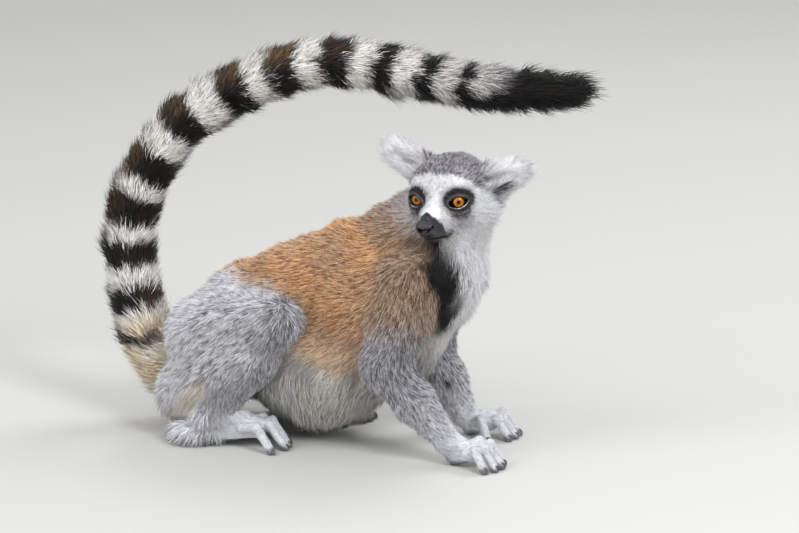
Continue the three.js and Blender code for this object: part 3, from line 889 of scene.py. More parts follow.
@dataclass(frozen=True)
class Markings:
    """The ring-tailed lemur's markings, as functions of the place on the body."""

    anatomy: Anatomy

    RINGS = (  # along the tail in millimetres: the middle and the width of each black ring
        (50, 15), (90, 24), (132, 25), (175, 29), (221, 33), (277, 29), (334, 29), (386, 28), (436, 27),
        (480, 19), (521, 19), (556, 14),
    )
    BLACK_TIP = 592.0
    BROAD = Waves(seed=11, size=38 * MM)
    FINE = Waves(seed=12, size=9 * MM)
    PATCHES = Waves(seed=13, size=15 * MM)
    MARKS = Waves(seed=14, size=4.5 * MM)

    def paint(self, points: Array, parts: Array) -> Array:
        """The colours at points of the coat or the skin.

        Args:
            points: Points in the body's own metres.
            parts: How much each part of the body counts at each point.

        Returns:
            Ten numbers for each point, as CoatColour.row gives them.
        """
        wobble = self.FINE.at(points)
        place = points / MM + wobble[:, None] * 0.6
        painters: dict[Part, Callable[[Array, Array], Paint]] = {
            Part.TRUNK: self._trunk, Part.NECK: self._neck, Part.HEAD: self._head, Part.EARS: self._ears,
            Part.ARM_RIGHT: self._arm, Part.ARM_LEFT: self._arm,
            Part.HAND_RIGHT: self._paw, Part.HAND_LEFT: self._paw,
            Part.THIGH_RIGHT: self._thigh, Part.THIGH_LEFT: self._thigh,
            Part.SHIN_RIGHT: self._shin, Part.SHIN_LEFT: self._shin,
            Part.FOOT_RIGHT: self._paw, Part.FOOT_LEFT: self._paw, Part.TAIL: self._tail,
        }
        rows = np.zeros((len(points), 10))
        for part, painter in painters.items():
            share = parts[:, part.value]
            used = np.flatnonzero(share > 0.01)
            if len(used):
                rows[used] += painter(place[used], points[used]).rows * share[used, None]
        return rows / np.maximum(parts.sum(axis=1), 1e-6)[:, None]

    def _front(self, paint: Paint, place: Array) -> Paint:
        """The white bib of throat and chest, edged with black.

        Args:
            paint: The paint to lay it on.
            place: Points in millimetres, wandered a little.

        Returns:
            The same paint.
        """
        ahead, left, up = place.T
        bib = 13.5 + (up - 91.0) * 0.13
        edge = np.abs(left) - bib
        front = ramp(ahead, 28.0, 42.0)
        outer = 29.0 + 30.0 * ramp(up, 112.0, 168.0)
        patch = ramp(np.abs(left) - outer, 4.0, -4.0) * ramp(up, 104.0, 118.0) * ramp(ahead, 34.0, 50.0)
        paint.lay(BLACK, patch * ramp(up, 224.0, 210.0))
        return paint.lay(WHITE, ramp(edge, 2.5, -2.5) * front)

    def _trunk(self, place: Array, points: Array) -> Paint:
        """Tan back, golden lower flank, white belly painted darker as shade, grey rump.

        Args:
            place: Points in millimetres, wandered a little.
            points: The same points in metres.

        Returns:
            Their paint.
        """
        ahead, left, up = place.T
        broad = self.BROAD.at(points)
        paint = Paint(len(place), TAN)
        paint.lay(SHOULDER_BROWN, 0.3 + 0.2 * broad)
        paint.lay(SHOULDER_BROWN, ramp(ahead, 5.0, 50.0))
        rump = np.interp(np.abs(left), (10, 55), (-166, -100))
        paint.lay(LIGHT_GREY, ramp(ahead - rump + 6.0 * broad, 14.0, -14.0))
        belly_line = np.interp(ahead, (-130, -80, -45, -12, 4, 20, 36), (90, 88, 78, 62, 68, 90, 116))
        above = up - belly_line + 3.0 * broad
        paint.lay(SAND, ramp(above, 48.0, 8.0) * ramp(ahead, -150.0, -120.0) * ramp(ahead, 14.0, -8.0))
        # The belly: white painted darker grey as the shade under the body.
        paint.lay(SHADED_BELLY_WHITE, ramp(above, 9.0, -9.0))
        return self._front(paint, place)

    def _neck(self, place: Array, points: Array) -> Paint:
        """Grey-brown nape, black sides and white throat.

        Args:
            place: Points in millimetres, wandered a little.
            points: The same points in metres, not used here.

        Returns:
            Their paint.
        """
        ahead, left, up = place.T
        paint = Paint(len(place), SHOULDER_BROWN)
        paint.lay(CAP_GREY, ramp(up, 205.0, 228.0) * 0.35)
        self._front(paint, place)
        paint.lay(WHITE, ramp(ahead, 52.0, 62.0) * ramp(np.abs(left), 34.0, 28.0))
        return paint.lay(WHITE, ramp(ahead, 74.0, 82.0))

    def _head(self, place: Array, points: Array) -> Paint:
        """White face, grey cap, black eye patches and slate muzzle, with painted shade under the jaw and
        painted highlights along the lids.

        Args:
            place: Points in millimetres, wandered a little.
            points: The same points in metres.

        Returns:
            Their paint.
        """
        forward, left, up = self.anatomy.head.local(place * MM).T
        side = np.abs(left)
        paint = Paint(len(place), WHITE)
        cheek = ramp(np.hypot(side - 24.0, up + 19.0), 12.0, 4.0) * ramp(forward, 15.0, 22.0)
        paint.lay(CHEEK_GREY, cheek)
        paint.lay(CHEEK_GREY, 0.5 * ramp(np.hypot(side - 12.0, up + 16.0), 9.0, 3.0))
        cap = up - forward + 2.5
        paint.lay(CAP_GREY, ramp(cap, -2.0, 3.0))
        nape = ramp(forward, -18.0, -32.0) * ramp(up, 12.0, -8.0)
        paint.lay(SHOULDER_BROWN, nape)
        # Black under the jaw on the right side: partly the throat's dark patch, partly painted shade under
        # the chin.
        under = ramp(place[:, 2], 211.0, 203.0) * ramp(left, 3.0, -3.0) * ramp(up, -31.0, -36.0)
        paint.lay(BLACK, under)
        paint.lay(SLATE, self.bare_muzzle(forward, side, up))
        paint.lay(BLACK, ramp(up, -20.0, -24.0) * ramp(forward, 30.0, 36.0) * 0.6)
        within = np.stack((forward, side, up), axis=1)
        paint.lay(NOSTRIL, ramp(Face.nostril(within, 1.0), 0.7, -0.3))
        for eye, shift, reach in zip(self.anatomy.eyes, (-0.6, 1.0), (12.6, 14.2)):
            offset = (points - eye.centre) / MM
            across, rise = offset @ eye.across, offset @ eye.up
            front = ramp(offset @ eye.gaze, -6.0, -1.0)
            bag = np.hypot((across - 2.0) / 10.5, (rise + 9.5) / 8.0)
            paint.lay(EYE_GREY, ramp(bag, 1.15, 0.75) * front)
            ring = np.hypot((across - shift) / reach, (rise - 1.4) / 11.2)
            paint.lay(EYE_GREY, ramp(ring, 1.4, 1.05) * front * 0.45)
            paint.lay(BLACK, ramp(ring, 1.08, 0.92) * front)
            edge, height, out = eye.rim(points)
            upper = ramp(height, -1.0, 2.0) * ramp(out, 0.0, 3.0)
            # Painted highlight: a thin lighter slate arc along the upper lid's fold.
            paint.lay(LID_FOLD_HIGHLIGHT, ramp(np.abs(edge - 2.8), 0.9, 0.3) * upper)
            # Painted highlight: a broken near-white line along the lower lid's wet rim.
            lower = ramp(height, 0.4, -1.6) * ramp(out, 0.0, 3.0)
            broken = 0.55 + 0.35 * self.FINE.at(points * 2.5)
            paint.lay(WET_RIM_HIGHLIGHT, ramp(np.abs(edge - 0.2), 0.42, 0.15) * lower * broken * ramp(across, -6.0, 3.0))
        return paint

    @staticmethod
    def bare_muzzle(forward: Array, side: Array, up: Array) -> Array:
        """How far the bare dark skin of nose and lips covers points of the head, from 0 to 1.

        Args:
            forward: How far forward the points are, in the head's own millimetres.
            side: How far to either side.
            up: How far up.

        Returns:
            The shares.
        """
        bridge = np.interp(side, (0.0, 2.5, 5.5, 8.5, 10.5), (51.6, 53.4, 55.6, 53.0, 48.5))
        lip = np.interp(up, (-27.0, -22.0, -16.0), (43.0, 45.5, 48.5))
        edge = mix(bridge, lip, ramp(up, -13.0, -19.0))
        bare = ramp(forward - edge, -0.8, 0.8)
        chin = ramp(up - (forward - 36.0) * 0.08 + 26.7, 0.6, -0.6) * ramp(forward, 33.0, 36.0)
        corner = np.sqrt((forward - 36.5) ** 2 + (side - 12.0) ** 2 + (up + 29.0) ** 2)
        bare = np.maximum(np.maximum(bare, chin), ramp(corner, 5.8, 4.4))
        return bare * ramp(up, -36.0, -33.5)

    def _ears(self, place: Array, points: Array) -> Paint:
        """White ears with grey roots, painted shade in light grey in the hollow and in black along the left
        ear's lower edge.

        Args:
            place: Points in millimetres, wandered a little.
            points: The same points in metres, not used here.

        Returns:
            Their paint.
        """
        forward, left, up = self.anatomy.head.local(place * MM).T
        side = np.abs(left)
        paint = Paint(len(place), EAR_WHITE)
        cap = up - forward + 2.5
        root = np.where(left > 0.0, 38.0, 29.0)
        paint.lay(CAP_GREY, ramp(side - root, 0.0, -4.0) * ramp(cap, -2.0, 3.0) * ramp(up, 9.0, 15.0))
        # Painted shade: light grey in the ear's hollow.
        hollow = ramp(forward, -10.0, -5.0) * ramp(side, 48.0, 42.0) * ramp(side, 35.0, 39.0)
        paint.lay(CHEEK_GREY, 0.35 * hollow)
        # Painted shade: black along the left ear's lower edge, in the gap next to the head.
        shaded_slit = np.array((-5.0, 17.0, 9.0))
        offset = np.stack((forward + 1.0, left - 35.0, up + 1.5), axis=1)
        share = np.clip(offset @ shaded_slit / (shaded_slit @ shaded_slit), 0.0, 1.0)
        near = np.linalg.norm(offset - share[:, None] * shaded_slit, axis=1)
        return paint.lay(BLACK, ramp(near, 6.0, 3.5))

    def _arm(self, place: Array, points: Array) -> Paint:
        """Brown shoulder, grey arm, pale wrist, with the two dark gland spots.

        Args:
            place: Points in millimetres, wandered a little.
            points: The same points in metres.

        Returns:
            Their paint.
        """
        ahead, left, up = place.T
        paint = Paint(len(place), GREY)
        paint.lay(SHOULDER_BROWN, ramp(up + 5.0 * self.BROAD.at(points), 92.0, 140.0))
        paint.lay(DARK_GREY, ramp(np.abs(up - 92.0), 34.0, 8.0) * 0.3)
        paint.lay(LIGHT_GREY, ramp(up, 66.0, 24.0) * 0.9)
        self._front(paint, place)
        for ahead_of, left_of, above in ((60.0, 30.0, 126.0), (37.0, 27.0, 50.0)):
            spot = np.sqrt((ahead - ahead_of) ** 2 + (np.abs(left) - left_of) ** 2 + (up - above) ** 2)
            paint.lay(BLACK, ramp(spot, 6.5, 3.5))
        return paint

    def _paw(self, place: Array, points: Array) -> Paint:
        """Pale backs of the hands and feet.

        Args:
            place: Points in millimetres, wandered a little.
            points: The same points in metres, not used here.

        Returns:
            Their paint.
        """
        paint = Paint(len(place), PALE)
        return paint.lay(DARK_GREY, ramp(place[:, 2], 7.5, 2.5) * 0.9)

    def _thigh(self, place: Array, points: Array) -> Paint:
        """Light grey thigh, speckled dark towards the knee, with a cream stripe behind.

        Args:
            place: Points in millimetres, wandered a little.
            points: The same points in metres.

        Returns:
            Their paint.
        """
        ahead, left, up = place.T
        broad = self.BROAD.at(points)
        paint = Paint(len(place), LIGHT_GREY)
        stripe = self._stripe(ahead, up)
        patchy = 0.5 + 0.5 * self.PATCHES.at(points)
        paint.lay(SPECKLED, ramp(patchy, 0.35, 1.0) * 0.5 * ramp(ahead, -186.0, -150.0))
        knee = ramp(ahead + 8.0 * broad - 0.3 * (up - 100.0), -120.0, -92.0)
        paint.lay(SPECKLED, knee * 0.6)
        marks = self.MARKS.at(points * np.array((1.0, 1.0, 0.55)))
        paint.lay(DARK_GREY, ramp(marks, 0.6, 1.3) * 0.9 * ramp(ahead, -196.0, -170.0))
        paint.lay(CREAM, ramp(np.abs(stripe), 16.0, 3.0) * ramp(up, 72.0, 48.0) * 0.7)
        # The inner side takes the belly's white, painted darker grey as shade.
        return paint.lay(SHADED_BELLY_WHITE, ramp(np.abs(left), 42.0, 30.0))

    @staticmethod
    def _stripe(ahead: Array, up: Array) -> Array:
        """How far ahead of the slanting line behind the shin a point is, in millimetres."""
        return ((ahead + 155.0) * 53.0 - (up - 68.0) * 39.0) / math.hypot(53.0, 39.0)

    def _shin(self, place: Array, points: Array) -> Paint:
        """Speckled grey shin with a pale inner side and heel.

        Args:
            place: Points in millimetres, wandered a little.
            points: The same points in metres.

        Returns:
            Their paint.
        """
        ahead, left, up = place.T
        paint = Paint(len(place), SPECKLED)
        paint.lay(GREY, 0.5 + 0.3 * self.BROAD.at(points))
        paint.lay(LIGHT_GREY, 0.5 + 0.3 * self.PATCHES.at(points))
        paint.lay(CREAM, ramp(np.abs(self._stripe(ahead, up)), 16.0, 3.0) * ramp(up, 72.0, 48.0) * 0.7)
        paint.lay(LIGHT_GREY, ramp(up, 34.0, 18.0))
        # The inner side takes the belly's white, painted darker grey as shade.
        return paint.lay(SHADED_BELLY_WHITE, ramp(np.abs(left), 46.0, 34.0))

    def _tail(self, place: Array, points: Array) -> Paint:
        """Black and white rings, a buff root and a black tip.

        Args:
            place: Points in millimetres, wandered a little.
            points: The same points in metres.

        Returns:
            Their paint.
        """
        length, offset = self.anatomy.tail.measure(points)
        length = length + 2.2 * self.FINE.at(points)
        outward = offset[:, 2] / MM
        length = length - np.abs(outward) * 0.25 * ramp(length, 420.0, 560.0)
        paint = Paint(len(place), RING_WHITE)
        paint.lay(BUFF, ramp(length, 84.0, 48.0) * (0.7 + 0.2 * self.PATCHES.at(points)))
        paint.lay(DARK_GREY, ramp(length, 470.0, 590.0) * 0.5)
        for index, (middle, width) in enumerate(self.RINGS):
            slant = offset[:, 0] / MM * 0.6 if index == 0 else 0.0
            ring = ramp(np.abs(length - middle + slant) - width / 2.0, 2.2, -2.2)
            paint.lay(RING_BLACK, ring)
            brown = ring * ramp(outward, 0.0, 14.0) * (0.75 + 0.35 * self.BROAD.at(points))
            paint.lay(RING_BROWN, brown * ramp(length, 500.0, 360.0))
        tip = self.BLACK_TIP - 44.0 * ramp(outward, 4.0, -14.0)
        return paint.lay(RING_BLACK, ramp(length, tip - 14.0, tip + 10.0))


# ---------------------------------------------------------------- the skin
@dataclass
class Growth:
    """How the coat grows at points of the skin, in metres and radians."""

    lie: Array
    length: Array
    lift: Array
    width: Array
    density: Array
    clump: Array


@dataclass(frozen=True)
class Groomer:
    """Decides how the hair lies and how long it is, all over the body."""

    anatomy: Anatomy

    SWIRL = tuple(Waves(seed=seed, size=26 * MM) for seed in (21, 22, 23))
    ROUGH = Waves(seed=24, size=14 * MM)

    def groom(self, points: Array, normals: Array, weights: Array, parts: Array) -> Growth:
        """How the coat grows at points of the skin.

        Args:
            points: Points in the body's own metres.
            normals: The skin's outward directions there.
            weights: How much each cone counts there.
            parts: How much each part counts there.

        Returns:
            The way the hair points along the skin, its length, lift, width, density and clumping.
        """
        cones = self.anatomy.cones
        lie = weights @ np.array([cone.lie for cone in cones])
        length, lift, width, density, clump = (
            weights @ np.array([getattr(cone.style, name) for cone in cones])
            for name in ("length", "lift", "width", "density", "clump")
        )
        growth = Growth(lie, length * MM, np.radians(lift), width * MM, density, clump)
        self._belly(points, parts, growth)
        self._tail(points, parts, growth)
        self._heels(points, parts, growth)
        self._head(points, parts, growth)
        self._paws(points, normals, parts, growth)
        swirl = np.stack([waves.at(points) for waves in self.SWIRL], axis=1)
        growth.lie = growth.lie + swirl * 0.09
        along = growth.lie - normals * np.sum(growth.lie * normals, axis=1)[:, None]
        growth.lie = unit(along)
        growth.length *= 1.0 + 0.12 * self.ROUGH.at(points)
        return growth

    def _belly(self, points: Array, parts: Array, growth: Growth) -> None:
        """Lets the belly's long hair hang and meet in the middle.

        Args:
            points: Points in the body's own metres.
            parts: How much each part counts there.
            growth: Their growth, which is changed.
        """
        ahead, left, up = (points / MM).T
        low = ramp(up, 100.0, 62.0) * parts[:, Part.TRUNK.value]
        hang = np.stack((-(ahead + 55.0) / 70.0 - 0.25, np.zeros_like(up), np.full_like(up, -1.0)), axis=1)
        growth.lie[:] = mix(growth.lie, hang, low[:, None])
        growth.length[:] = mix(growth.length, BELLY_COAT.length * MM, low)
        growth.width[:] = mix(growth.width, BELLY_COAT.width * MM, low)
        growth.clump[:] = mix(growth.clump, BELLY_COAT.clump, low)
        growth.density[:] = mix(growth.density, BELLY_COAT.density, low)

    def _tail(self, points: Array, parts: Array, growth: Growth) -> None:
        """Draws the hair at the tail's end out into a brush.

        Args:
            points: Points in the body's own metres.
            parts: How much each part counts there.
            growth: Their growth, which is changed.
        """
        used = np.flatnonzero(parts[:, Part.TAIL.value] > 0.5)
        length, _ = self.anatomy.tail.measure(points[used])
        end = ramp(length, 560.0, 635.0)
        growth.length[used] *= mix(1.0, 1.3, end)
        growth.lift[used] *= mix(1.0, 0.5, end)
        growth.width[used] *= mix(1.0, 0.8, end)

    @staticmethod
    def _heels(points: Array, parts: Array, growth: Growth) -> None:
        """Lets the hair behind the shins hang down over the heels.

        Args:
            points: Points in the body's own metres.
            parts: How much each part counts there.
            growth: Their growth, which is changed.
        """
        ahead, _, up = (points / MM).T
        share = sum(parts[:, part.value] for part in (
            Part.THIGH_RIGHT, Part.THIGH_LEFT, Part.SHIN_RIGHT, Part.SHIN_LEFT, Part.FOOT_RIGHT))
        low = share * ramp(up, 66.0, 34.0) * ramp(ahead, -142.0, -160.0)
        growth.length[:] = mix(growth.length, 21.0 * MM, low)
        growth.lie[:] = mix(growth.lie, np.array((-0.35, 0.0, -1.0)), low[:, None])

    def _head(self, points: Array, parts: Array, growth: Growth) -> None:
        """Sweeps the face's short hair away from the nose and the eyes and bares the nose and lids.

        Args:
            points: Points in the body's own metres.
            parts: How much each part counts there.
            growth: Their growth, which is changed.
        """
        head = self.anatomy.head
        share = parts[:, Part.HEAD.value]
        used = np.flatnonzero(share > 0.02)
        if not len(used):
            return
        share = share[used]
        forward, left, up = head.local(points[used]).T
        side = np.abs(left)
        lie = unit(points[used] - head.place(60, 0, -2)) + head.direction(0, 0, -1) * 0.12
        lid = np.full(len(used), 30.0)
        bald = np.zeros(len(used))
        for eye in self.anatomy.eyes:
            edge, height, out = eye.rim(points[used])
            edge = np.where(out > -4.0, edge, 30.0)
            near = ramp(edge, 11.0, 2.0)
            lie = lie + unit(points[used] - eye.centre) * (near * 1.3)[:, None]
            lid = np.minimum(lid, edge)
            bald = np.maximum(bald, ramp(edge, mix(1.7, 4.2, ramp(height, -1.0, 2.0)), 0.9))
        ruff = ramp(side, 18.0, 30.0) * ramp(up, 8.0, -10.0) * ramp(forward, 26.0, 10.0)
        length = 5.0 + 1.5 * ramp(forward, 10.0, -20.0)
        length = mix(length, 3.6, ramp(forward, 14.0, 26.0))
        temple = ramp(side, 26.0, 33.0) * ramp(forward, 24.0, 8.0)
        length = mix(length, 9.0, temple)
        length = mix(length, mix(17.0, 29.0, ramp(forward, 8.0, -10.0)), ruff)
        length = mix(length, 9.0, ramp(up, -22.0, -32.0) * ramp(forward, 50.0, 34.0))
        length = mix(length, 2.0, ramp(forward, 42.0, 54.0))
        length = length * mix(0.42, 1.0, ramp(lid, 1.0, 9.0))
        bare = Markings.bare_muzzle(forward, side, up)
        density = mix(4.0, 0.0, bare) * (1.0 - bald)
        density = density * mix(1.0, 0.75, ramp(forward, 0.0, -20.0))
        growth.lie[used] = mix(growth.lie[used], lie, share[:, None])
        growth.length[used] = mix(growth.length[used], length * MM, share)
        lift = mix(mix(26.0, 14.0, ramp(forward, 20.0, 50.0)), 40.0, temple)
        lift = mix(lift, mix(36.0, 57.0, ramp(forward, 8.0, -10.0)), ruff)
        growth.lift[used] = mix(growth.lift[used], np.radians(lift), share)
        growth.width[used] = mix(growth.width[used], mix(0.5, 0.34, ramp(forward, 5, 30)) * MM, share)
        growth.density[used] = mix(growth.density[used], density, share)

    @staticmethod
    def _paws(points: Array, normals: Array, parts: Array, growth: Growth) -> None:
        """Leaves palms, soles and the undersides of the digits bare.

        Args:
            points: Points in the body's own metres.
            normals: The skin's outward directions there.
            parts: How much each part counts there.
            growth: Their growth, which is changed.
        """
        paws = (Part.HAND_RIGHT, Part.HAND_LEFT, Part.FOOT_RIGHT, Part.FOOT_LEFT)
        share = sum(parts[:, part.value] for part in paws)
        under = ramp(normals[:, 2], 0.05, -0.35) * ramp(points[:, 2] / MM, 22.0, 12.0)
        growth.density *= 1.0 - share * under


@dataclass
class Skin:
    """The one skin under the coat: a closed surface wrapped round all the cones."""

    anatomy: Anatomy
    markings: Markings
    voxel: float = 1.4 * MM
    adaptivity: float = 0.12
    points: Array = field(init=False)  # in the body's own metres
    normals: Array = field(init=False)
    triangles: Array = field(init=False)  # numbers of points
    weights: Array = field(init=False)  # how much each cone counts at each point
    parts: Array = field(init=False)  # how much each part of the body does
    near: list[Array] = field(init=False)  # the numbers of the points near each cone

    def build(self) -> bpy.types.Object:
        """Wraps, refines and settles the skin.

        Returns:
            The skin's object.
        """
        points, faces = self._wrap()
        mesh = bpy.data.meshes.new("skin")
        mesh.from_pydata(points, [], faces)
        self._refine(mesh)
        self.points = self._settle(vertex_places(mesh))
        self.normals = unit(self._slope(self.points))
        mesh.vertices.foreach_set("co", (self.points + self.anatomy.origin).astype(np.float32).ravel())
        mesh.polygons.foreach_set("use_smooth", np.ones(len(mesh.polygons), dtype=bool))
        mesh.update()
        mesh.calc_loop_triangles()
        LOG.info("skin: %d triangles", len(mesh.loop_triangles))
        triangles = np.empty(len(mesh.loop_triangles) * 3, dtype=np.int32)
        mesh.loop_triangles.foreach_get("vertices", triangles)
        self.triangles = triangles.reshape(-1, 3)
        self.weights = self.anatomy.weights(self.points)
        of_part = np.zeros((len(self.anatomy.cones), len(Part)), dtype=np.float32)
        for index, cone in enumerate(self.anatomy.cones):
            of_part[index, cone.part.value] = 1.0
        self.parts = self.weights @ of_part
        self._colour(mesh)
        return link_object("skin", mesh)

    def _wrap(self) -> tuple[Array, list[Array]]:
        """Samples the distance to the skin on a grid and takes its zero surface.

        Returns:
            The surface's points and its faces.
        """
        cones = self.anatomy.cones
        margin = 6 * MM
        boxes = [cone.corners(margin) for cone in cones]
        low = np.min([box[0] for box in boxes], axis=0)
        high = np.max([box[1] for box in boxes], axis=0)
        axes = [np.arange(low[axis], high[axis], self.voxel) for axis in range(3)]
        grid = np.full([len(axis) for axis in axes], FAR, dtype=np.float32)
        for cone in cones:
            block, points = self._block(axes, *cone.corners(cone.blend + 4 * MM))
            own = cone.distance(points).reshape(grid[block].shape)
            grid[block] = melt(grid[block], own, cone.blend)
        middle = self.anatomy.head.place(10, 0, 0)
        reach = self.anatomy.face.reach * MM
        block, points = self._block(axes, middle - reach, middle + reach)
        shaped = self.anatomy.face.shape(points, grid[block].ravel().astype(float))
        grid[block] = shaped.reshape(grid[block].shape)
        floor = axes[2] - self.anatomy.FLOOR_GAP * MM
        grid = carve(grid, np.broadcast_to(floor, grid.shape), 1.0 * MM).astype(np.float32)
        volume = openvdb.FloatGrid()
        volume.copyFromArray(grid)
        volume.transform = openvdb.createLinearTransform(voxelSize=self.voxel)
        points, triangles, quads = volume.convertToPolygons(isovalue=0.0, adaptivity=self.adaptivity)
        LOG.info("skin wrapped: %d points, %d triangles, %d quads", len(points), len(triangles), len(quads))
        return points + low, [*triangles.tolist(), *quads.tolist()]

    @staticmethod
    def _block(axes: list[Array], low: Array, high: Array) -> tuple[tuple[slice, ...], Array]:
        """The part of a grid inside a box.

        Args:
            axes: The grid's places along each axis.
            low: The box's lowest corner.
            high: The box's highest corner.

        Returns:
            The slices that cut it out, and its points as rows.
        """
        ranges = [np.searchsorted(axis, (low[index], high[index])) for index, axis in enumerate(axes)]
        block = tuple(slice(start, max(end, start + 1)) for start, end in ranges)
        corners = np.meshgrid(*(axis[cut] for axis, cut in zip(axes, block)), indexing="ij")
        return block, np.stack(corners, axis=-1).reshape(-1, 3)

    def _refine(self, mesh: bpy.types.Mesh) -> None:
        """Divides the faces of the muzzle and round the eyes, where the forms are finest.

        Args:
            mesh: The skin's mesh.
        """
        head = self.anatomy.head
        muzzle, reach = head.place(32, 0, -8), 50 * MM
        for round_eyes, past, rims in ((17.0, 34.0, 9.0), (13.0, 44.0, 5.0), (0.0, 57.0, 1.7)):
            work = bmesh.new()
            work.from_mesh(mesh)
            work.faces.ensure_lookup_table()
            centres = np.array([face.calc_center_median() for face in work.faces])
            forward = head.local(centres)[:, 0]
            chosen = forward > past
            for eye in self.anatomy.eyes:
                edge, _, out = eye.rim(centres)
                chosen |= np.linalg.norm(centres - eye.centre, axis=1) < round_eyes * MM
                chosen |= (np.abs(edge) < rims) & (np.abs(out - 6.0) < 7.0)
            chosen &= (forward > 5.0) & (np.linalg.norm(centres - muzzle, axis=1) < reach)
            edges = {edge for index in np.flatnonzero(chosen) for edge in work.faces[index].edges}
            bmesh.ops.subdivide_edges(work, edges=list(edges), cuts=1, use_grid_fill=True)
            work.to_mesh(mesh)
            work.free()

    def _slope(self, points: Array) -> Array:
        """The direction in which the distance to the skin grows, at each point.

        Args:
            points: Points in the body's own metres.

        Returns:
            The directions, about one long.
        """
        step = 0.25 * MM
        total = np.zeros_like(points)
        for corner in np.array(((1, 1, 1), (1, -1, -1), (-1, 1, -1), (-1, -1, 1)), dtype=float):
            total += corner * self.anatomy.distance(points + corner * step, self.near)[:, None]
        return total / (4.0 * step)

    def _settle(self, points: Array) -> Array:
        """Moves points onto the skin's exact surface.

        Args:
            points: Points in the body's own metres.

        Returns:
            The points on the surface.
        """
        self.near = self.anatomy.neighbours(points, 6 * MM)
        for _ in range(3):
            slope = self._slope(points)
            step = self.anatomy.distance(points, self.near) / np.maximum(np.sum(slope**2, axis=1), 0.2)
            points = points - slope * np.clip(step, -1.2 * MM, 1.2 * MM)[:, None]
        return points

    def _wetness(self) -> Array:
        """How moist the skin is at each point, from 0 to 1: nose and lids most.

        Returns:
            The moistness.
        """
        head = self.anatomy.head
        forward, left, up = head.local(self.points).T
        bare = Markings.bare_muzzle(forward, np.abs(left), up) * self.parts[:, Part.HEAD.value]
        wet = bare * mix(0.55, 1.0, ramp(forward, 58.0, 63.0))
        for eye in self.anatomy.eyes:
            edge, _, out = eye.rim(self.points)
            wet = np.maximum(wet, ramp(edge, 4.5, 1.0) * ramp(out, 0.0, 3.0))
        return wet

    def _colour(self, mesh: bpy.types.Mesh) -> None:
        """Paints the skin with the coat's markings, and with how moist it is in place of the alpha.

        Args:
            mesh: The skin's mesh.
        """
        rows = self.markings.paint(self.points, self.parts)
        shown = np.column_stack((rows[:, 0:3], self._wetness()))
        paint = mesh.color_attributes.new("markings", "FLOAT_COLOR", "POINT")
        paint.data.foreach_set("color", shown.astype(np.float32).ravel())


def vertex_places(mesh: bpy.types.Mesh) -> Array:
    """The places of a mesh's vertices, as rows.

    Args:
        mesh: The mesh.

    Returns:
        The places.
    """
    flat = np.empty(len(mesh.vertices) * 3, dtype=np.float32)
    mesh.vertices.foreach_get("co", flat)
    return flat.reshape(-1, 3).astype(float)


def link_object(name: str, mesh: bpy.types.Mesh) -> bpy.types.Object:
    """Puts a mesh into the scene as an object at the origin.

    Args:
        name: The object's name.
        mesh: Its mesh.

    Returns:
        The object.
    """
    made = bpy.data.objects.new(name, mesh)
    bpy.context.scene.collection.objects.link(made)
    return made


# ---------------------------------------------------------------- the coat
class CoatPiece(Enum):
    """The pieces that the coat is made in."""

    FACE = "coat_face"
    CROWN = "coat_crown"
    EARS = "coat_ears"
    NECK = "coat_neck"
    CHEST = "coat_chest"
    FLANKS = "coat_flanks"
    LOINS = "coat_loins"
    ARM_RIGHT = "coat_arm_right"
    ARM_LEFT = "coat_arm_left"
    THIGH_RIGHT = "coat_thigh_right"
    THIGH_LEFT = "coat_thigh_left"
    SHINS = "coat_shins"
    PAWS = "coat_paws"
    TAIL_ROOT = "coat_tail_root"
    TAIL_MIDDLE = "coat_tail_middle"
    TAIL_END = "coat_tail_end"


@dataclass
class Tufts:
    """The roots of many tufts and how each one grows."""

    roots: Array
    normals: Array
    growth: Growth
    parts: Array
    patch: Array  # each root's place on the unwrap of the skin


